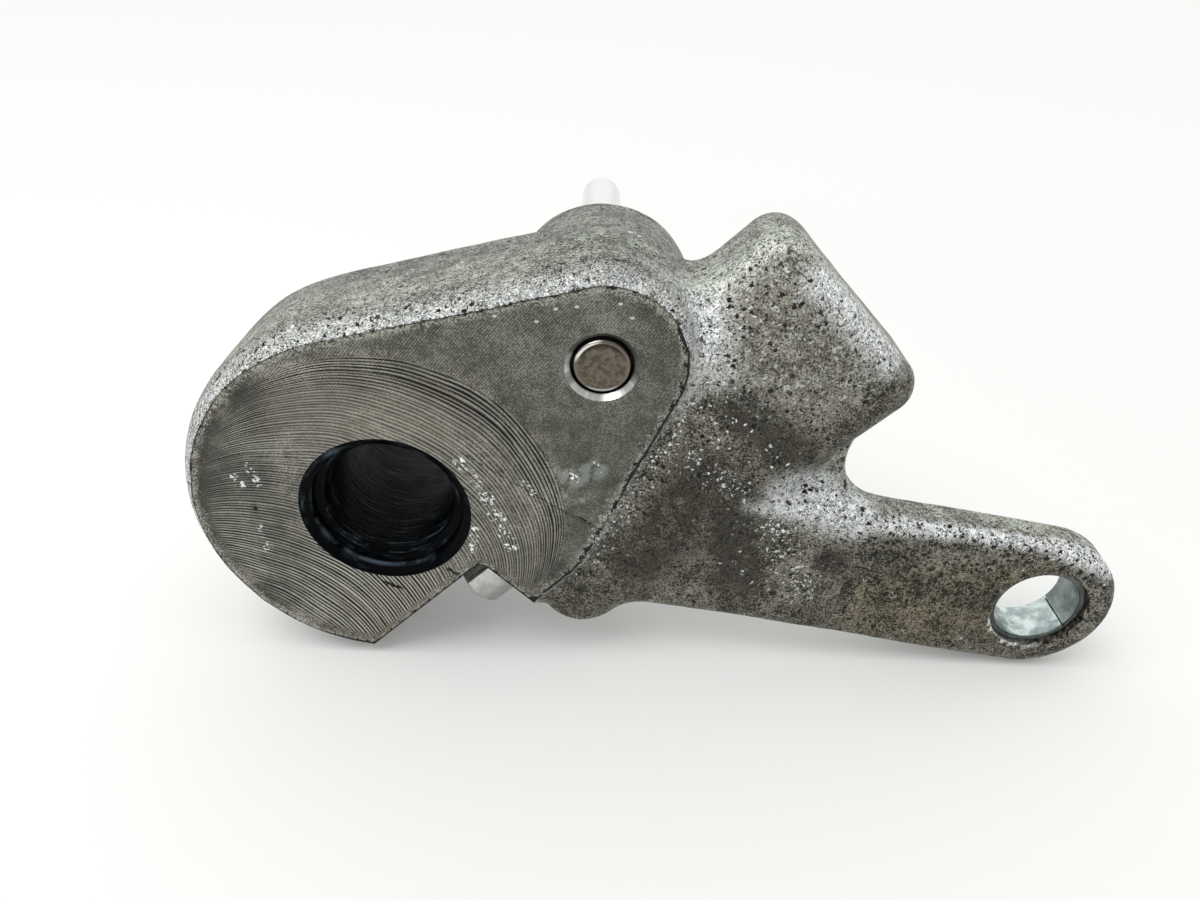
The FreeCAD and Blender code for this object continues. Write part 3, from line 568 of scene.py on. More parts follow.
# %% [markdown]
# ## From the field to a mesh
# The field is sampled on a fine grid. Wherever it changes sign along a grid line, the
# surface passes, and the field's slope there is the surface's direction. Each grid
# cell gets one vertex, at the place that fits all those little tangent planes best, so
# a vertex lands exactly on an edge or corner that a cut has left. This is known as
# dual contouring. All steps work on whole arrays.

# %% Where the surface crosses the grid
GRID_STEP = 0.68
GRID_LOW = np.array([-33.0, -20.1, -38.0])
GRID_HIGH = np.array([122.5, 20.0, 45.5])
GRID_SHIFT = 0.013
SLOPE_STEP = 0.01


def grid_field(axes):
    """The field on the whole grid, one layer of constant X after another."""
    y, z = np.meshgrid(axes[1], axes[2], indexing="ij")
    layers = [casting_field(np.full_like(y, x), y, z) for x in axes[0]]
    return np.array(layers)


def grid_points(axes, index):
    """The grid's points at whole-number places."""
    return np.stack([axes[i][index[:, i]] for i in range(3)], axis=1)


def field_slope(points):
    """The field's unit slope at points, from small steps both ways."""
    parts = []
    for axis in range(3):
        step = np.zeros(3)
        step[axis] = SLOPE_STEP
        parts.append(casting_field(*(points + step).T) - casting_field(*(points - step).T))
    slopes = np.stack(parts, axis=1)
    return slopes / np.maximum(np.linalg.norm(slopes, axis=1, keepdims=True), 1e-9)


def crossings(values, axes, axis):
    """Grid edges along one axis that the surface crosses: their cell, point and direction."""
    low = np.take(values, range(values.shape[axis] - 1), axis)
    high = np.take(values, range(1, values.shape[axis]), axis)
    where = np.argwhere((low < 0) != (high < 0))
    a, b = low[tuple(where.T)], high[tuple(where.T)]
    points = grid_points(axes, where)
    start, span = points[:, axis].copy(), GRID_STEP
    share_low, share_high = np.zeros(len(a)), np.ones(len(a))
    for _ in range(3):
        share = share_low + (share_high - share_low) * np.clip(a / (a - b), 0.02, 0.98)
        points[:, axis] = start + share * span
        value = casting_field(*points.T)
        same = (value < 0) == (a < 0)
        share_low, a = np.where(same, share, share_low), np.where(same, value, a)
        share_high, b = np.where(same, share_high, share), np.where(same, b, value)
    share = share_low + (share_high - share_low) * np.clip(a / (a - b), 0, 1)
    points[:, axis] = start + share * span
    outward = high[tuple(where.T)] > low[tuple(where.T)]
    return where, points, outward


grid_axes = [np.arange(GRID_LOW[i], GRID_HIGH[i], GRID_STEP) + GRID_SHIFT for i in range(3)]
field_values = grid_field(grid_axes)
print("grid", field_values.shape, "points inside:", int((field_values < 0).sum()))

# %% [markdown]
# Each crossing gives a plane through its point p with the unit slope n. A cell's vertex
# v is where the sum of (n . (v - p))^2 over the cell's planes is smallest: three linear
# equations, with the sums of n n^T as their matrix. Ways in which that matrix says next
# to nothing are left out, and there v stays in the middle of the crossings.

# %% One vertex per cell
FLAT_SHARE = 0.06
CELL_MARGIN = 0.1


def contour(values, axes):
    """Vertices and four-sided faces of the surface where the field is zero."""
    shape = np.array(values.shape) - 1
    found, plane_cells, plane_points = [], [], []
    for axis in range(3):
        where, points, outward = crossings(values, axes, axis)
        b, c = (axis + 1) % 3, (axis + 2) % 3
        ring = []
        for back_b, back_c in ((1, 1), (0, 1), (0, 0), (1, 0)):
            cell = where.copy()
            cell[:, b] -= back_b
            cell[:, c] -= back_c
            ring.append((cell[:, 0] * shape[1] + cell[:, 1]) * shape[2] + cell[:, 2])
        ring = np.stack(ring, axis=1)
        found.append(np.where(outward[:, None], ring, ring[:, ::-1]))
        plane_cells.append(ring)
        plane_points.append(points)
    rings = np.concatenate(plane_cells)
    points = np.concatenate(plane_points)
    slopes = field_slope(points)
    cell_ids, cell_of = np.unique(rings.ravel(), return_inverse=True)
    cell_of = cell_of.reshape(-1)
    points = np.repeat(points, 4, axis=0)
    slopes = np.repeat(slopes, 4, axis=0)
    count = len(cell_ids)

    def gather(table):
        """Sums of each column over the rows of one cell."""
        return np.stack([np.bincount(cell_of, column, count) for column in table.T], axis=1)

    centre = gather(points) / gather(np.ones((len(cell_of), 1)))
    away = np.einsum("ij,ij->i", slopes, points - centre[cell_of])
    products = slopes[:, :, None] * slopes[:, None, :]
    square = gather(products.reshape(-1, 9)).reshape(-1, 3, 3)
    side = gather(slopes * away[:, None])
    size, way = np.linalg.eigh(square)
    keep = size > FLAT_SHARE * size[:, -1:]
    inverse = np.where(keep, 1 / np.maximum(size, 1e-12), 0)
    turned_side = np.einsum("nij,ni->nj", way, side)
    shift = np.einsum("nij,nj->ni", way, inverse * turned_side)
    index = np.stack(np.unravel_index(cell_ids, shape), axis=1)
    low = grid_points(axes, index)
    vertices = np.clip(centre + shift, low - CELL_MARGIN * GRID_STEP,
                       low + (1 + CELL_MARGIN) * GRID_STEP)
    lookup = np.searchsorted(cell_ids, np.concatenate(found).ravel()).reshape(-1, 4)
    return vertices, lookup


casting_points, casting_faces = contour(field_values, grid_axes)
print("vertices", len(casting_points), "faces", len(casting_faces))

# %% [markdown]
# Each face is either cast skin, milled face, notch wall or bore. The field knows: at
# the face's centre the largest of the four fields is the one that made it. That label
# picks the finish, and an edge between two labels stays sharp.

# %% Mesh object of the casting
def mesh_from_arrays(name, points_mm, faces, sharp_angle=None):
    """A smooth-shaded object at the origin from arrays; faces have four corners."""
    mesh = bpy.data.meshes.new(name)
    mesh.vertices.add(len(points_mm))
    mesh.vertices.foreach_set("co", (np.asarray(points_mm) / 1000).astype(np.float32).ravel())
    mesh.loops.add(faces.size)
    mesh.loops.foreach_set("vertex_index", faces.astype(np.int32).ravel())
    mesh.polygons.add(len(faces))
    mesh.polygons.foreach_set("loop_start", 4 * np.arange(len(faces), dtype=np.int32))
    mesh.update(calc_edges=True)
    mesh.validate()
    mesh.polygons.foreach_set("use_smooth", np.ones(len(mesh.polygons), bool))
    if sharp_angle:
        mesh.set_sharp_from_angle(angle=math.radians(sharp_angle))
    return add_object(name, mesh)


def label_faces(points_mm, faces):
    """0 cast skin, 1 milled face, 2 notch wall, 3 bore, by the largest field at the centre."""
    centre = points_mm[faces].mean(axis=1)
    fields = [cast_field(*centre.T), *cut_fields(*centre.T)]
    return np.argmax(np.stack(fields), axis=0)


labels = label_faces(casting_points, casting_faces)
casting = mesh_from_arrays("casting", casting_points, casting_faces, 38)
print("labels:", np.bincount(labels), "polygons kept:", len(casting.data.polygons))

# %% Sharp edges between labels
def sharpen_borders(mesh, face_labels):
    """Marks as sharp every edge whose two faces have different labels."""
    loop_edges = np.zeros(len(mesh.loops), np.int32)
    mesh.loops.foreach_get("edge_index", loop_edges)
    low = np.full(len(mesh.edges), 99)
    high = np.full(len(mesh.edges), -1)
    per_loop = np.repeat(face_labels, 4)
    np.minimum.at(low, loop_edges, per_loop)
    np.maximum.at(high, loop_edges, per_loop)
    attribute = (mesh.attributes.get("sharp_edge")
                 or mesh.attributes.new("sharp_edge", "BOOLEAN", "EDGE"))
    sharp = np.zeros(len(mesh.edges), bool)
    attribute.data.foreach_get("value", sharp)
    attribute.data.foreach_set("value", sharp | (low != high))
    return int((low != high).sum())


LABEL_SLOT = np.array([0, 1, 0, 2])
casting.data.polygons.foreach_set("material_index", LABEL_SLOT[labels].astype(np.int32))
print("sharp border edges:", sharpen_borders(casting.data, labels))

# %% [markdown]
# ## Turned pieces
# Bushes, dowel and rod came off a lathe, so each is a profile turned about its axis.
# The profile is a list of (along, radius) points. Small rounds are put at its corners,
# because on a real edge a thin bright line of light runs along such a round.

# %% Turning helpers
def soften(profile, rounds, steps=4):
    """The closed or open profile with each corner replaced by a small arc.
    A corner's arc follows the curve (1-t)^2 A + 2t(1-t) B + t^2 C between two points
    that lie one round's length before and after the corner B."""
    corners = np.array(profile, float)
    made = []
    for i, corner_point in enumerate(corners):
        reach = rounds[i]
        if reach == 0:
            made.append(corner_point)
            continue
        start, stop = (corner_point + (other - corner_point) * reach
                       / np.linalg.norm(other - corner_point)
                       for other in (corners[i - 1], corners[(i + 1) % len(corners)]))
        for t in np.linspace(0, 1, steps + 1):
            made.append((1 - t) ** 2 * start + 2 * t * (1 - t) * corner_point + t * t * stop)
    return np.array(made)


def grid_faces(rows, width, closed):
    """Four-sided faces between rings of points, each ring closed on itself. With closed
    the last ring joins the first."""
    i, j = np.meshgrid(np.arange(rows if closed else rows - 1), np.arange(width), indexing="ij")
    next_i, next_j = (i + 1) % rows, (j + 1) % width
    return np.stack([i * width + j, i * width + next_j, next_i * width + next_j,
                     next_i * width + j], axis=-1).reshape(-1, 4)


def turn_profile(profile, origin, axis, side, segments=160, start=0.0, sweep=360.0):
    """A piece turned about an axis: point = origin + along * axis + radius * (cos a * side
    + sin a * third). A full turn closes on itself; a partial one is left open at both ends."""
    axis, side = np.array(axis, float), np.array(side, float)
    third = np.cross(axis, side)
    whole = sweep == 360.0
    count = segments if whole else segments + 1
    angle = np.radians(start + sweep * np.arange(count) / segments)
    around = np.cos(angle)[:, None] * side + np.sin(angle)[:, None] * third
    points = (np.array(origin) + profile[None, :, :1] * axis
              + profile[None, :, 1:2] * around[:, None, :])
    return points.reshape(-1, 3), grid_faces(count, len(profile), whole)


def close_up(made, sharp_angle):
    """Doubles merged, open ends filled and faces turned outwards."""
    work = bmesh.new()
    work.from_mesh(made.data)
    bmesh.ops.remove_doubles(work, verts=work.verts, dist=1e-7)
    bmesh.ops.dissolve_degenerate(work, edges=work.edges, dist=1e-8)
    open_edges = [edge for edge in work.edges if edge.is_boundary]
    if open_edges:
        bmesh.ops.holes_fill(work, edges=open_edges)
    bmesh.ops.recalc_face_normals(work, faces=work.faces)
    work.to_mesh(made.data)
    work.free()
    made.data.polygons.foreach_set("use_smooth", np.ones(len(made.data.polygons), bool))
    made.data.set_sharp_from_angle(angle=math.radians(sharp_angle))


ALONG_Y, UP_X = (0, 1, 0), (1, 0, 0)
PLUNGER_AXIS = (PLUNGER_COS, 0, PLUNGER_SIN)


def build_turned(name, profile, rounds, origin, axis=ALONG_Y, side=UP_X, steps=4,
                 sharp_angle=35, **options):
    """The object of a turned piece: its profile is softened, turned and closed."""
    profile = soften(profile, rounds, steps)
    made = mesh_from_arrays(name, *turn_profile(profile, origin, axis, side, **options))
    close_up(made, sharp_angle)
    print(name, "has", len(made.data.polygons), "faces")
    return made


print("turning helpers ready")

# %% [markdown]
# The pivot bush is a dark, glossy sleeve. At each end its rim slopes inwards, then a
# recess follows, and a small step leads down to the running bore.

# %% Pivot bush
bush_half = [(18.0, 13.05), (18.0, 12.85), (17.0, 11.5), (15.0, 11.5), (14.4, 10.0)]
bush_rounds = [0.08, 0.12, 0.25, 0.3, 0.25]
bush_profile = bush_half + [(-along, radius) for along, radius in reversed(bush_half)]
pivot_bush = build_turned("pivot_lining", bush_profile, bush_rounds + bush_rounds[::-1],
                          (0, 0, 0), segments=192, sharp_angle=50)

# %% [markdown]
# The eye's bush is rolled from zinc plated strip, so a narrow seam runs along it. It is
# turned through a little less than a full circle, and its two ends are closed.

# %% Eye bush
EYE_SEAM, EYE_SEAM_GAP = 38.0, 2.2
eye_profile = [(-15.0, 7.0), (-15.0, 8.0), (-7.5, 8.0), (-7.5, 7.0)]
eye_bush = build_turned("eye_sleeve", eye_profile, [0.25, 0.08, 0.08, 0.25], (EYE_X, 0, EYE_Z),
                        segments=150, start=EYE_SEAM, sweep=360 - EYE_SEAM_GAP, sharp_angle=50)

# %% [markdown]
# The dowel is ground steel. Its front end sits just below the machined face and has a
# rounded rim; an undercut behind the boss and a chamfer at the far end finish it.

# %% Dowel
dowel_profile = [(0.06, 0.0), (0.06, 3.35), (0.0, 3.5), (0.0, 4.0), (28.6, 4.0), (28.6, 3.8),
                 (29.2, 3.8), (29.2, 4.0), (79.2, 4.0), (80.0, 3.2), (80.0, 0.0)]
dowel_rounds = [0, 0.06, 0.06, 0.42, 0.05, 0.05, 0.05, 0.05, 0.2, 0.2, 0]
dowel = build_turned("dowel", dowel_profile, dowel_rounds, (DOWEL_X, -17.6, DOWEL_Z), steps=6,
                     segments=96)

# %% [markdown]
# The plunger's rod is polished. It shows in the notch below the pivot, where its
# chamfered tip ends in mid air at rest. Its rear spigot sits in the piston.

# %% Plunger rod
rod_profile = [(0.0, 0.0), (0.0, 4.6), (0.4, 5.0), (24.4, 5.0), (24.4, 3.5), (28.4, 3.5),
               (28.4, 0.0)]
rod = build_turned("plunger_rod", rod_profile, [0, 0.12, 0.12, 0.1, 0.1, 0.1, 0],
                   (TIP_X, TIP_Y, TIP_Z), PLUNGER_AXIS, ALONG_Y, segments=128)

# %% [markdown]
# The return spring is wound from round wire. Its end turns lie close and are ground
# flat, and the pitch grows smoothly towards the middle. A point of the wire's centre
# line stands at "rise" along the axis and at the angle 2 pi t around it, and circles
# of the wire's radius are set square to that line.

# %% Plunger spring
SPRING_FROM, SPRING_TO = 34.85, 71.35
SPRING_RADIUS, WIRE_RADIUS, SPRING_TURNS = 5.4, 0.9, 8
CLOSE_PITCH, GROUND_DEPTH = 1.85, 0.35
WIRE_SIDES, STEPS_PER_TURN = 20, 48

turns = np.linspace(0, SPRING_TURNS, SPRING_TURNS * STEPS_PER_TURN + 1)
open_share = smooth_step(np.minimum(turns, SPRING_TURNS - turns), 0.7, 1.5)
line_from, line_to = SPRING_FROM + GROUND_DEPTH, SPRING_TO - GROUND_DEPTH
open_turns = ((open_share[1:] + open_share[:-1]) / 2 * np.diff(turns)).sum()
open_pitch = (line_to - line_from - CLOSE_PITCH * SPRING_TURNS) / open_turns
pitch = CLOSE_PITCH + open_pitch * open_share
steps_up = (pitch[1:] + pitch[:-1]) / 2 * np.diff(turns)
rise = line_from + np.concatenate([[0], np.cumsum(steps_up)])
axis_way, side_way = np.array(PLUNGER_AXIS), np.array(ALONG_Y, float)
third_way = np.cross(axis_way, side_way)
angle = 2 * math.pi * turns[:, None]
outward = np.cos(angle) * side_way + np.sin(angle) * third_way
around = np.cos(angle) * third_way - np.sin(angle) * side_way
forward = 2 * math.pi * SPRING_RADIUS * around + pitch[:, None] * axis_way
forward /= np.linalg.norm(forward, axis=1, keepdims=True)
upward = np.cross(forward, outward)
section = np.linspace(0, 2 * math.pi, WIRE_SIDES, endpoint=False)
centre_line = rise[:, None] * axis_way + SPRING_RADIUS * outward
wire = (centre_line[:, None] + WIRE_RADIUS * np.cos(section)[None, :, None] * outward[:, None]
        + WIRE_RADIUS * np.sin(section)[None, :, None] * upward[:, None]).reshape(-1, 3)
height = wire @ axis_way
wire += (np.clip(height, SPRING_FROM, SPRING_TO) - height)[:, None] * axis_way
wire += np.array([TIP_X, TIP_Y, TIP_Z])
spring = mesh_from_arrays("return_spring", wire, grid_faces(len(turns), WIRE_SIDES, False))
close_up(spring, 45)
print("spring:", len(spring.data.polygons), "faces, open pitch", round(float(pitch.max()), 2), "mm")

# %% [markdown]
# ## Distance to the milled edges
# Beside a milled edge the casting looks different: the edge itself is ragged and dark,
# and the skin next to it is rubbed bright. The fields give the distance for nothing. On
# the surface the largest field is zero, and the second largest one, negated, tells how
# far the next border is. It is kept with the vertices for the shaders to read.

# %% Distance attribute
def edge_gap(points_mm):
    """Distance of surface points to the nearest border of cast skin, milled face and notch."""
    facing, notch, _ = cut_fields(*points_mm.T)
    fields = np.sort(np.stack([cast_field(*points_mm.T), facing, notch]), axis=0)
    return np.hypot(fields[-2], np.maximum(plate_field(*points_mm.T), 0))


def edge_gap_of(tree):
    """The kept distance, read back in a material."""
    made = add_node(tree, "ShaderNodeAttribute", {"attribute_name": "edge_gap"})
    return Wire(made.outputs["Fac"])


gaps = edge_gap(casting_points).astype(np.float32)
casting.data.attributes.new("edge_gap", "FLOAT", "POINT").data.foreach_set("value", gaps)
print("vertices within 1 mm of an edge:", int((gaps < 1).sum()), "of", len(gaps))

# %% [markdown]
# ## Shared effects
# Three effects serve several finishes, so each is a node group. The cast grain gives
# the speckle, the dark pores and the bright flecks of the skin. The line mask marks
# what lies near a short line, for scratches, stains and smudges. The lathe rings are
# streaks that run round an axis along Y.

# %% Group: cast grain
PORE_EDGE = 0.14


def pores(place, scale, share, size):
    """Round spots of random size in a share of all cells."""
    made = add_node(place.tree, "ShaderNodeTexVoronoi", None, {"Vector": place, "Scale": scale})
    chance = Wire(made.outputs["Color"]).split()[0]
    radius = chance.step(1 - share, 1.0, 0.0, size)
    return (radius - Wire(made.outputs["Distance"])).step(0.0, PORE_EDGE)


grain_group, enter, leave = new_group("cast_grain", {"Place": ("Vector", None)},
                                      ("Speckle", "Pits", "Flecks", "Height"))
fine = enter["Place"].noise(3.4, 3, 0.7)
coarse = enter["Place"].noise(0.6, 3, 0.55)
both = fine * 0.76 + coarse * 0.24
bent = enter["Place"].shaken(1.6, (1.1, 1.1, 1.1))
pits = pores(bent, 1.1, 0.5, 0.5) | pores(bent, 2.7, 0.66, 0.55)
feed(leave, Speckle=both.step(0.41, 0.59), Pits=pits, Flecks=pores(bent, 1.7, 0.34, 0.46),
     Height=both - pits * 0.45)
print("cast grain nodes:", len(grain_group.nodes))

# %% Group: near a line
line_group, enter, leave = new_group("near_line", {
    "Place": ("Vector", None), "Start": ("Vector", (0, 0, 0)), "Reach": ("Vector", (1, 0, 0)),
    "Inner": ("Float", 0.0), "Outer": ("Float", 1.0)}, ("Mask",))
from_start = enter["Place"].vector("SUBTRACT", enter["Start"])
reach_squared = enter["Reach"].vector("DOT_PRODUCT", enter["Reach"])
along = from_start.vector("DOT_PRODUCT", enter["Reach"])
share = along.math("DIVIDE", reach_squared, clamp=True)
foot = share.node("ShaderNodeVectorMath", {"operation": "SCALE"},
                  {0: enter["Reach"], "Scale": share})
distance = from_start.vector("SUBTRACT", foot).vector("LENGTH")
feed(leave, Mask=distance.fall(enter["Inner"], enter["Outer"]))


def marked(place, lines, level):
    """The strongest of several line masks at one depth. A line is (x, z, x, z, inner, outer):
    its two ends, and how far from it the mask starts to fade and has gone."""
    total = None
    for ax, az, bx, bz, inner, outer in lines:
        mask = use_group(line_group, Place=place, Start=(ax, level, az),
                         Reach=(bx - ax, 0, bz - az), Inner=inner, Outer=outer)["Mask"]
        total = mask if total is None else total | mask
    return total


print("line mask nodes:", len(line_group.nodes))

# %% Group: lathe rings
ring_group, enter, leave = new_group("lathe_rings", {
    "Place": ("Vector", None), "Around": ("Float", 2.0), "Across": ("Float", 5.0)},
    ("Rings", "Radius"))
flat = enter["Place"].vector("MULTIPLY", (1, 0, 1))
radius = flat.vector("LENGTH")
heading = flat.vector("NORMALIZE").split()
depth_and_radius = radius + enter["Place"].split()[1]
ring_place = joined(ring_group, heading[0] * enter["Around"], heading[2] * enter["Around"],
                    depth_and_radius * enter["Across"])
feed(leave, Rings=ring_place.noise(1.0, 3, 0.6), Radius=radius)
print("lathe ring nodes:", len(ring_group.nodes))

# %% [markdown]
# ## Finish of the cast skin
# The skin is a grey alloy with an olive cast: dark and light grains lie side by side,
# broad clouds shift the balance, and small pores are black. Next to the milled edge it
# is rubbed nearly white. Down the barrel's front it is stained brown and carries
# bright flecks where the skin was nicked. Light and shade are painted in as well: the
# upper surfaces behind the face are lighter and darken towards the back, the barrel's
# upper flank is lighter with painted glints, and painted highlights run along the
# rounded edges of the arm, its root and the barrel's shoulders.

# %% Cast skin: its colours and the places of its marks
SKIN_DARK, SKIN_LIGHT = (0.038, 0.036, 0.028, 1), (0.345, 0.328, 0.276, 1)
# The rear colours are lighter than the front ones, as painted light on the upper surfaces;
# REAR_DARK is also the painted shade further back.
REAR_DARK, REAR_LIGHT = (0.086, 0.092, 0.078, 1), (0.56, 0.58, 0.51, 1)
# Colours of skin rubbed bare and of the painted highlights; the sheen colour is a painted sheen.
BARE_AND_HIGHLIGHT_DARK, BARE_AND_HIGHLIGHT_LIGHT = (0.26, 0.27, 0.262, 1), (0.84, 0.855, 0.84, 1)
PAINTED_SHEEN = (0.97, 0.98, 1.0, 1)
SKIN_STAIN, SKIN_OLIVE = (0.05, 0.045, 0.036, 1), (0.36, 0.31, 0.22, 1)
SKIN_PIT, SKIN_FLECK = (0.022, 0.022, 0.02, 1), (0.9, 0.91, 0.92, 1)
STAINS = [(53.5, 16.9, 61.2, 9.3, 1.5, 5.5), (39.1, -10.6, 47.6, 4.8, 2, 8),
          (52.6, 1.3, 55.5, -14.9, 2, 7), (69.6, -11.7, 70.4, -11.8, 1.5, 4)]
# Where the barrel's upper flank gets painted light and painted glints.
LIT_BARREL_FLANK = [(50, 36, 62, 25, 5, 14)]
DULL_BOSS = [(32, 39, 35, 39, 5, 13)]
ARM_PITS = [(78, -12, 116, -18, 6, 12)]
# Lines of painted highlight on rounded edges that face the lamp.
PAINTED_HIGHLIGHT_LINES = [(44.6, 38, 48.9, 23.7, 0.5, 6), (62, 35.5, 73, 25, 0.8, 5),
              (62.3, 1.8, 72.4, -3, 2, 6.6), (55.2, 0, 64.1, -2.4, 0.3, 3),
              (74.5, -4.6, 91.7, -6.4, 0.6, 2.4), (91.7, -6.4, 106.9, -8.9, 0.6, 2.6),
              (106.9, -8.9, 117, -14, 1.2, 3.4), (72.4, 4.2, 73, 0.8, 0.5, 2.2),
              (73, 0.8, 81.3, -3.5, 0.5, 2.2)]
NICKED_SPOTS = [(43.7, 10.4, 53.8, 5, 1, 5.5), (30, -12, 44, 14, 0.8, 4.5),
                (61.1, -5.1, 65.7, -17.5, 1, 7), (27, -14, 42, 13, 0.5, 3.5),
                (48, 20, 60, -2, 2, 8)]
SEAM_STRIP = [(43.5, 13.5, 31, -8, 0.8, 2.8), (42, 12, 56, 1, 0.4, 2.6),
              (45, 22, 43.5, 13.5, 0.4, 1.6), (59, -2, 66, -18, 1, 5)]
OLIVE_SPOT = [(82, -21.5, 104, -20.5, 4, 13)]
print("stains:", len(STAINS), "painted highlight lines:", len(PAINTED_HIGHLIGHT_LINES), "nicked:", len(NICKED_SPOTS))

# %% Cast skin: its nodes
BUMP_DEPTH = 0.0002
SHAKE_SCALE = 2.4

cast_skin, tree, shader = new_material("cast_skin", Metallic=0.88)
place = millimetres(tree)
parts = place.split()
gap = edge_gap_of(tree)
grain = use_group(grain_group, Place=place)
cloud = place.noise(0.14, 4, 0.6)
shaken = place.shaken(SHAKE_SCALE, (1.1, 1.1, 1.1))
# Painted light and shade: the upper surfaces take the lighter rear colours and darken further back
# as painted shade.
rear = parts[1].step(-15.6, -11.5)
# Painted light: the barrel's upper flank, which faces the lamp, is made lighter and carries painted
# glints.
painted_lit_flank = marked(place, LIT_BARREL_FLANK, -15.0)
balance = grain["Speckle"] + (cloud * 1.6 - 0.85) + painted_lit_flank * 0.36
light_share = (balance - marked(place, DULL_BOSS, -12.0) * 0.22).step(-0.1, 1.2)
front_light = mix(marked(place, OLIVE_SPOT, -16.0) * 0.85, SKIN_LIGHT, SKIN_OLIVE)
front = mix(light_share, SKIN_DARK, front_light)
top_painted_light_shade = mix(light_share, REAR_DARK, REAR_LIGHT)
top_painted_light_shade = mix(parts[1].step(-12.0, 0.0, 0.0, 0.45), top_painted_light_shade, REAR_DARK)
stain = marked(place, STAINS, -16.8) * cloud.step(0.3, 0.5)

upper = parts[2].step(12.0, 25.0) | parts[0].step(-6.0, -18.0)
band = gap.fall(0.1, upper * 4.2 + 1.1) * (upper * 0.5 + 0.45)
# Painted highlights along the rounded edges of the arm, its root and the barrel's shoulders, with a
# painted sheen where the crinkle noise is high.
spots = marked(place, PAINTED_HIGHLIGHT_LINES, -15.0) * grain["Height"].step(0.0, 0.42)
foil = place.noise(1.2, 3, 0.6, 1.2)
painted_glints = painted_lit_flank * foil.step(0.5, 0.64) * 0.8
painted_sheen = spots * foil.step(0.46, 0.6) * 0.9
bare_and_highlight_colour = mix(painted_sheen, mix(grain["Speckle"], BARE_AND_HIGHLIGHT_DARK, BARE_AND_HIGHLIGHT_LIGHT), PAINTED_SHEEN)

on_arm = marked(place, ARM_PITS, -16.0)
pitted = grain["Pits"] * (cloud.step(0.38, 0.55, 0.45, 1.0) | on_arm)
pitted = pitted | pores(shaken, 1.3, 0.7, 0.6) * on_arm
nicked = grain["Flecks"] * (marked(place, NICKED_SPOTS, -16.5)
                            | place.noise(0.3, 2, 0.5).step(0.56, 0.7))
nicked = nicked | marked(place, SEAM_STRIP, -17.3) * pores(shaken, 2.0, 0.42, 0.6)
ragged = gap - place.noise(1.3, 4, 0.75).step(0.45, 0.65, 0.0, 0.32)
colour = layered(mix(rear, front, top_painted_light_shade), (stain * 0.8, SKIN_STAIN),
                 (band | painted_glints | spots, bare_and_highlight_colour), (pitted, SKIN_PIT), (nicked, SKIN_FLECK),
                 (ragged.step(-0.12, 0.05, 0.9, 0.0), SKIN_PIT))
rough = grain["Speckle"] * -0.14 + nicked * -0.2 + spots * -0.16 + 0.54
feed(shader, Base_Color=colour, Roughness=rough)
feed_bump(shader, grain["Height"] + foil * (rear * -2.4 + 3.4), BUMP_DEPTH)
print("cast skin nodes:", len(tree.nodes))

# %% [markdown]
# ## Finish of the milled face
# A fly cutter has crossed the face on a wide arc, over and over, and each pass left one
# groove. For a point, "ahead" and "aside" are measured from the last arc's middle. The
# arc there is a circle of radius R, and t = ahead - sqrt(R^2 - aside^2) counts the way
# to the last pass. Where t is negative, sin(2 pi t / pitch) draws the grooves; beyond
# the last pass only fine marks of an earlier cut remain.

# %% Milled face: its colours and the places of its marks
FACE_BASE, FACE_LIGHT = (0.112, 0.106, 0.09, 1), (0.46, 0.445, 0.4, 1)
FACE_DARK, FACE_BLACK = (0.042, 0.04, 0.034, 1), (0.008, 0.008, 0.007, 1)
FACE_STAIN, FACE_FLECK = (0.3, 0.33, 0.3, 1), (0.92, 0.93, 0.92, 1)
FACE_WARM, FACE_RIDGE = (0.27, 0.235, 0.19, 1), (0.52, 0.505, 0.45, 1)
FACE_COOL = (0.076, 0.081, 0.068, 1)
NICKS = [(12, 9.3, 14.6, 5, 0.1, 1.2), (15.6, 2.9, 18.9, -6.8, 0.2, 1.6),
         (13.4, -3.6, 12.6, -7.6, 0.1, 0.9), (21.5, 5.2, 22.6, 3.6, 0.1, 0.8),
         (-21.6, 6.4, -20.7, 5, 0.2, 0.8), (-19.2, 8.4, -18, 4.9, 0.2, 0.8),
         (-19.8, -2.5, -19.6, -7.2, 0, 0.7), (28, 7.3, 29, 5.9, 0.1, 0.9),
         (31.8, 8.6, 32.7, 7.7, 0.1, 0.8)]
DOTS = [(x, z, x + 0.2, z, 0.05, 0.3) for x, z in ((26.8, 33.2), (29.6, 33.5), (35.3, 33.9),
                                                   (24.2, 31.4), (18.7, 32.2), (36.9, 31.9))]
SMUDGES = [(19.4, -6.6, 21.4, -13.8, 1, 3), (-25, 10, -12, 19, 1, 6), (26, -12, 29, -15, 1, 4),
           (8, 23, 15, 17, 1, 5), (-26, -2, -24, -8, 1, 5)]
WARM_SPOT = [(-8, 17, 8, 16, 3, 9), (-4, -22, 4, -17, 2, 7)]
RUBBLE = [(45, 21, 44, 14, 0.6, 2), (41.5, 10.5, 27, -13.5, 0.8, 2.6)]
NOTCH_EDGE = [(-4.5, -26.5, 9.6, -13.4, 0.8, 2)]
PALE_STAINS = [(28.6, 6.2, 32.2, 7.6, 1, 2.4), (30.1, 2.2, 30.6, 2.4, 0.2, 0.9)]
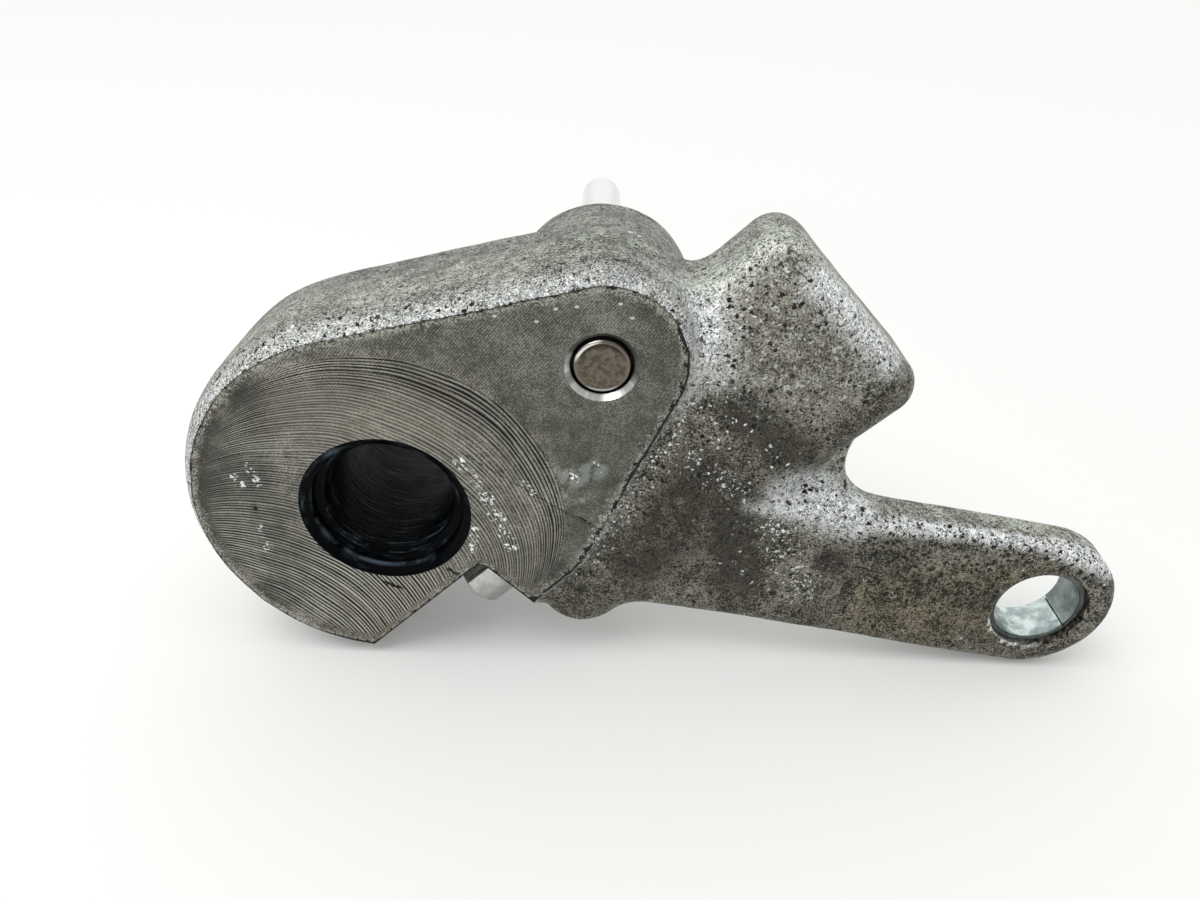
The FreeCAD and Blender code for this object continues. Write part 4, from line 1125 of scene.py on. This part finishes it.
HAIR_CRACKS = [(28.9, -0.7, 30.7, -2, 0.05, 0.2), (30.7, -2, 32.7, -3.6, 0.05, 0.2),
               (44, 25, 45, 23.9, 0.1, 0.34), (39, 11.8, 39.9, 9, 0.25, 0.7),
               (-19.7, 0.5, -19.6, 0.5, 0.2, 0.5), (39.9, 9, 32.7, -3.6, 0.06, 0.28),
               (45.2, 23.5, 44.8, 18, 0.08, 0.34), (8.5, -11.5, 11, -13.5, 0.1, 0.5),
               (44.9, 17, 40.9, 10.6, 0.05, 0.26), (12.6, 10.6, 31.6, -3.2, 0, 0.13),
               (-2, -14.2, 0.5, -15.6, 0.1, 0.5)]
print("nicks:", len(NICKS), "smudges:", len(SMUDGES), "hair cracks:", len(HAIR_CRACKS))

# %% Milled face: its grooves
ARC_CENTRE, ARC_AHEAD, ARC_ASIDE = (-0.8, FACE_Y, -1.8), (0.66, 0, 0.75), (-0.75, 0, 0.66)
ARC_RADIUS, GROOVE_PITCH = 28.0, 0.62

milled, tree, shader = new_material("milled_face", Metallic=0.86)
place = millimetres(tree)
parts = place.split()
gap = edge_gap_of(tree)
grain = use_group(grain_group, Place=place)
from_arc = place.vector("SUBTRACT", ARC_CENTRE)
ahead = from_arc.vector("DOT_PRODUCT", ARC_AHEAD)
aside = from_arc.vector("DOT_PRODUCT", ARC_ASIDE)
under_root = (ARC_RADIUS ** 2 - aside * aside) | 1.0
passed = ahead - under_root.math("SQRT")
wobble = place.noise(0.06, 1, 0.5) * 2.2 + joined(tree, passed).noise(0.8, 2, 0.5) * 0.9
turn = (passed + wobble) * (2 * math.pi / GROOVE_PITCH)
wave = turn.math("SINE")
uneven = joined(tree, passed * 1.3, aside * 0.11).noise(1.0, 3, 0.6).step(0.34, 0.54, 0.42, 1.0)
last_passes = passed.step(-7.0, -3.0, 0.45, 1.0) * passed.fall(-0.2, 0.5)
lower_left = (parts[2] + parts[0] * 0.35).fall(-14.0, -2.0)
grooved = last_passes | lower_left | parts[0].step(-8.0, -18.0, 0.0, 0.75)
deep = grooved * uneven * gap.step(0.9, 1.7)
line_share = wave.step(0.02, 0.36) * deep
ridge_share = wave.step(0.0, -0.5) * (deep * passed.step(-9.0, -3.0, 0.95, 0.4))
print("groove nodes:", len(tree.nodes))

# %% Milled face: its colour and relief
FINE_PITCH = 0.36
FACE_BUMP_DEPTH = 0.6 * BUMP_DEPTH

fine_turn = place.noise(0.5, 2, 0.5) * 5.0 + aside * (2 * math.pi / FINE_PITCH)
fine_wave = fine_turn.math("SINE") * 0.5 + 0.5
fine_share = fine_wave * parts[2].step(14.0, 24.0, 0.24, 0.5)
cloud = place.noise(0.11, 5, 0.64)
tone = cloud * 1.9 - 1.12 + (grain["Speckle"] * 0.6 + fine_share)
left_wash = parts[0].step(-9.0, -20.0) * cloud.step(0.62, 0.38, 0.12, 0.6)
stain = marked(place, PALE_STAINS, FACE_Y) * place.noise(0.6, 3, 0.6).step(0.38, 0.55)

shaken = place.shaken(SHAKE_SCALE, (1.1, 0, 1.1))
nick_cells = pores(shaken, 1.6, 0.5, 0.66) | pores(shaken, 3.2, 0.5, 0.6)
nicks = marked(place, NICKS, FACE_Y).step(0.0, 0.5) * nick_cells
nicks = nicks | marked(place, DOTS, FACE_Y) * 0.6
cracks = marked(shaken.vector("SUBTRACT", (0.55, 0, 0.55)), HAIR_CRACKS, FACE_Y)
cracked = (parts[2] - parts[0]).step(-4.0, -22.0) | marked(place, NOTCH_EDGE, FACE_Y)
chips = place.noise(0.9, 4, 0.7).step(0.5, 0.68) * (cracked * 0.3 + 0.3)
ragged = gap - chips - grain["Speckle"] * 0.12
crumbs = marked(place, RUBBLE, FACE_Y) * pores(shaken, 1.8, 0.5, 0.62)
worn = ragged.step(0.1, 0.8, 0.9, 0.0) * grain["Speckle"] | crumbs
crack_edge = ragged - cracked * 0.16
colour = mix(tone.step(-0.35, 0.15), FACE_DARK, FACE_BASE)
colour = layered(colour, (tone.step(0.1, 1.1), FACE_LIGHT),
                 (marked(place, SMUDGES, FACE_Y) * 0.6, FACE_DARK),
                 (marked(place, WARM_SPOT, FACE_Y) * 0.4, FACE_WARM),
                 (passed.step(-0.5, 2.5, 0.0, 0.46), FACE_COOL), (ridge_share, FACE_RIDGE),
                 (line_share * 0.95, FACE_BLACK), (left_wash, FACE_DARK),
                 (stain * 0.6, FACE_STAIN), (nicks, FACE_FLECK), (cracks, FACE_BLACK),
                 (worn, FACE_LIGHT), (crack_edge.step(-0.06, 0.08, 0.95, 0.0), FACE_BLACK))
rough = grain["Speckle"] * -0.1 + nicks * -0.15 + 0.47
feed(shader, Base_Color=colour, Roughness=rough)
feed_bump(shader, wave * deep * -0.5 + grain["Height"] * 0.4, FACE_BUMP_DEPTH)
print("milled face nodes:", len(tree.nodes))

# %% [markdown]
# ## Finishes of the turned pieces
# The casting's bores are bright and carry fine rings. The dowel's mouth has painted light on the
# side that faces the lamp and painted shade deeper down. The eye's mouth is crusted and chipped,
# with a painted highlight on its lower left.

# %% Bored metal
def place_round(tree, centre_x, centre_z):
    """Places counted from an axis along Y."""
    return millimetres(tree).vector("SUBTRACT", (centre_x, 0, centre_z))


RING_DULL, RING_DULL_LIGHT = (0.1, 0.096, 0.084, 1), (0.2, 0.195, 0.175, 1)
RING_PAINTED_LIT, RING_PAINTED_SHINE = (0.3, 0.3, 0.28, 1), (0.75, 0.75, 0.73, 1)
HOLE_PAINTED_SHADE = (0.012, 0.012, 0.011, 1)
EYE_CRUST, EYE_CHIP, EYE_PAINTED_HIGHLIGHT = ((0.02, 0.018, 0.015, 1), (0.24, 0.225, 0.195, 1),
                                (0.72, 0.73, 0.71, 1))
bored, tree, shader = new_material("bored_metal", Metallic=0.95)
place = place_round(tree, DOWEL_X, DOWEL_Z)
parts = place.split()
rings = use_group(ring_group, Place=place, Around=3.0, Across=7.0)["Rings"].step(0.3, 0.7)
# Painted light on the chamfer's side towards the lamp, and painted shade deeper in the dowel's
# hole.
facing_lamp = (parts[0] * 0.45 + parts[2]).fall(-1.2, 0.8)
chamfer = mix(facing_lamp, mix(rings, RING_DULL, RING_DULL_LIGHT),
              mix(rings, RING_PAINTED_LIT, RING_PAINTED_SHINE))
hole = mix(parts[1].step(-17.35, -17.15), chamfer, HOLE_PAINTED_SHADE)
chipped = place.noise(1.3, 3, 0.7).step(0.42, 0.6)
from_eye = place_round(tree, EYE_X, EYE_Z).split()
# Painted highlight on the lower left of the eye's mouth.
lit = (from_eye[0] + from_eye[2]).step(-5.0, -9.0, 0.0, 0.85)
eye_rim = layered(mix(chipped, EYE_CRUST, EYE_CHIP),
                  (lit * chipped.step(0.0, 0.5, 0.4, 1.0), EYE_PAINTED_HIGHLIGHT))
feed(shader, Base_Color=mix(parts[0].step(20.0, 21.0), hole, eye_rim),
     Roughness=rings * -0.12 + 0.45)
print("bored metal nodes:", len(tree.nodes))

# %% [markdown]
# The pivot's lining is nearly black and glossy, with bluish scuffs that run round it,
# and a painted bluish highlight along its lip on the lower left. The eye's sleeve is zinc
# plated: a mint tint, brown specks, darker beside the seam and at the rim.

# %% Dark lining and zinc plate
LINING_BLACK, LINING_SCUFF_AND_HIGHLIGHT = (0.0006, 0.0009, 0.0013, 1), (0.066, 0.088, 0.112, 1)
dark_lining, tree, shader = new_material("dark_lining", Metallic=0.0, IOR=1.13)
place = millimetres(tree)
parts = place.split()
streaks = use_group(ring_group, Place=place, Around=1.7, Across=2.6)["Rings"]
blotch = place.noise(0.16, 4, 0.65)
# Painted highlight: a bluish line along the lip on the lower left, mixed in with the scuffs.
lip = (parts[1] + 16.7).math("ABSOLUTE").fall(0.1, 0.55)
left_below = (parts[2] * 0.8 + parts[0]).step(0.0, -8.0)
scuffs_and_lip_highlight = (streaks.step(0.5, 0.72) * blotch.step(0.42, 0.6)
          | lip * left_below * blotch.step(0.4, 0.55))
feed(shader, Base_Color=mix(scuffs_and_lip_highlight, LINING_BLACK, LINING_SCUFF_AND_HIGHLIGHT),
     Roughness=blotch.step(0.35, 0.65, 0.3, 0.55))
feed_bump(shader, streaks, 0.75 * BUMP_DEPTH)

ZINC_DARK, ZINC_LIGHT = (0.3, 0.365, 0.36, 1), (0.62, 0.7, 0.69, 1)
ZINC_SHADE, ZINC_SPOT = (0.09, 0.115, 0.11, 1), (0.09, 0.08, 0.06, 1)
ZINC_RIM = (0.05, 0.05, 0.045, 1)
SEAM_X = 7.0 * math.cos(math.radians(EYE_SEAM))
zinc, tree, shader = new_material("zinc_plate", Metallic=0.92)
place = place_round(tree, EYE_X, EYE_Z)
parts = place.split()
tint = place.noise(0.4, 4, 0.65).step(0.35, 0.65)
shaded = ((tint * 2.0 + parts[0]).step(-3.5, 0.5, 0.75, 0.0)
          | parts[0].step(SEAM_X, SEAM_X + 0.3, 0.0, 0.65))
colour = layered(mix(tint, ZINC_DARK, ZINC_LIGHT), (shaded, ZINC_SHADE),
                 (pores(place, 1.1, 0.16, 0.3), ZINC_SPOT),
                 (parts[1].step(-14.85, -14.6, 0.85, 0.0), ZINC_RIM))
feed(shader, Base_Color=colour, Roughness=tint.step(0.0, 1.0, 0.34, 0.2))
print("zinc plate nodes:", len(tree.nodes))

# %% [markdown]
# The dowel is ground bright. Its end is dull and brownish, with a crescent of painted shade
# near the upper edge, and its rim carries painted highlights towards the lamp and at the
# bottom. The rod is polished.

# %% Ground steel and polished rod
END_DARK, END_LIGHT = (0.085, 0.07, 0.053, 1), (0.165, 0.143, 0.114, 1)
END_PAINTED_SHADE = (0.03, 0.024, 0.019, 1)
RIM_DARK, RIM_PAINTED_LIT = (0.16, 0.135, 0.112, 1), (0.8, 0.78, 0.75, 1)
SIDE_DARK, SIDE_LIGHT = (0.64, 0.64, 0.63, 1), (0.8, 0.8, 0.8, 1)
ground_steel, tree, shader = new_material("ground_steel", Metallic=0.95)
place = place_round(tree, DOWEL_X, DOWEL_Z)
parts = place.split()
turned = use_group(ring_group, Place=place, Around=2.0, Across=6.0)
from_axis = turned["Radius"]
on_end = parts[1].fall(-17.3, -17.2) * from_axis.fall(3.35, 3.55)
tarnish = place.noise(1.3, 4, 0.62).step(0.36, 0.64)
# Painted shade: a crescent just inside the upper edge of the recessed end.
painted_shade_crescent = from_axis.step(2.55, 3.25) * parts[2].step(0.3, 2.4)
end_colour = layered(mix(tarnish, END_DARK, END_LIGHT), (painted_shade_crescent * 0.8, END_PAINTED_SHADE))
# Painted highlight on the rim, towards the lamp and at the bottom.
to_light = parts[0] * -0.62 + parts[2] * 0.78
painted_rim_light = to_light.step(2.7, 3.5) | parts[2].step(-2.8, -3.6, 0.0, 0.4)
side_colour = layered(mix(turned["Rings"].step(0.3, 0.7), SIDE_DARK, SIDE_LIGHT),
                      (parts[1].fall(-17.3, -17.1), mix(painted_rim_light, RIM_DARK, RIM_PAINTED_LIT)))
feed(shader, Base_Color=mix(on_end, side_colour, end_colour), Roughness=on_end * 0.22 + 0.16)

ROD_DARK, ROD_LIGHT = (0.46, 0.46, 0.455, 1), (0.6, 0.6, 0.59, 1)
polished, tree, shader = new_material("polished_rod", Metallic=1.0)
wear = millimetres(tree).noise(0.7, 4, 0.6)
feed(shader, Base_Color=mix(wear.step(0.35, 0.65), ROD_DARK, ROD_LIGHT),
     Roughness=wear.step(0.35, 0.65, 0.14, 0.07))
print("materials so far:", [made.name for made in bpy.data.materials])

# %% [markdown]
# The damper's pieces sit unseen inside the barrel. They get plain workshop finishes:
# turned steel, bronze, dark spring steel and black rubber.

# %% Finishes inside the barrel
def workshop_finish(name, first, second, rough, metallic=0.95, grain_scale=1.5):
    """Two shades of one material mixed by fine noise, which also varies the gloss."""
    made, tree, shader = new_material(name, Metallic=metallic)
    share = millimetres(tree).noise(grain_scale, 4, 0.6).step(0.35, 0.65)
    feed(shader, Base_Color=mix(share, first, second),
         Roughness=share.step(0.0, 1.0, rough + 0.06, rough - 0.06))
    return made


turned_steel = workshop_finish("turned_steel", (0.42, 0.42, 0.41, 1), (0.55, 0.55, 0.54, 1), 0.3)
bronze = workshop_finish("bronze", (0.5, 0.33, 0.16, 1), (0.62, 0.43, 0.22, 1), 0.35)
spring_steel = workshop_finish("spring_steel", (0.16, 0.17, 0.19, 1), (0.28, 0.28, 0.29, 1), 0.38)
rubber = workshop_finish("seal_rubber", (0.018, 0.018, 0.018, 1), (0.03, 0.03, 0.03, 1), 0.6, 0.0,
                         3.0)

INNER_FINISH = {"rod_guide": bronze, "rod_seal": rubber, "retaining_ring": spring_steel,
                "piston": turned_steel, "check_ball": turned_steel, "ball_cage": turned_steel}

for surface in (cast_skin, milled, bored):
    casting.data.materials.append(surface)
pivot_bush.data.materials.append(dark_lining)
eye_bush.data.materials.append(zinc)
dowel.data.materials.append(ground_steel)
rod.data.materials.append(polished)
spring.data.materials.append(spring_steel)
print("materials:", len(bpy.data.materials), "node groups:", len(bpy.data.node_groups))

# %% [markdown]
# ## Joining the pieces to the model
# Each new piece stands for its plain solid and rides on that solid's body. The pieces
# inside the barrel keep their solids and only get a finish.

# %% Ride and replace
for piece, body, node, finish in (
        (casting, "lever", "lever_casting", "casting"),
        (pivot_bush, "lever", "pivot_bush", "bush"),
        (eye_bush, "lever", "eye_bush", "zinc_bush"),
        (dowel, "lever", "roller_pin", "pin"),
        (rod, "plunger_train", "plunger", "plunger"),
        (spring, "lever", "plunger_spring", "spring_steel")):
    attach(piece, body)
    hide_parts(node)
for node, finish in INNER_FINISH.items():
    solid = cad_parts[node]
    solid.data.materials.clear()
    solid.data.materials.append(finish)
print("pieces with an own finish:", 6 + len(INNER_FINISH))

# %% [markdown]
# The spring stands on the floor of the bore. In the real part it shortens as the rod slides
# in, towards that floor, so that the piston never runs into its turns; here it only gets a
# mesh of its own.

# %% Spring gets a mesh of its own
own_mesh(spring)

# %% Size of the model, and finish
visual_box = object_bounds()
for which, box in (("solids", cad_box), ("visual", visual_box)):
    print(which, [[round(v * 1000, 2) for v in c] for c in box])
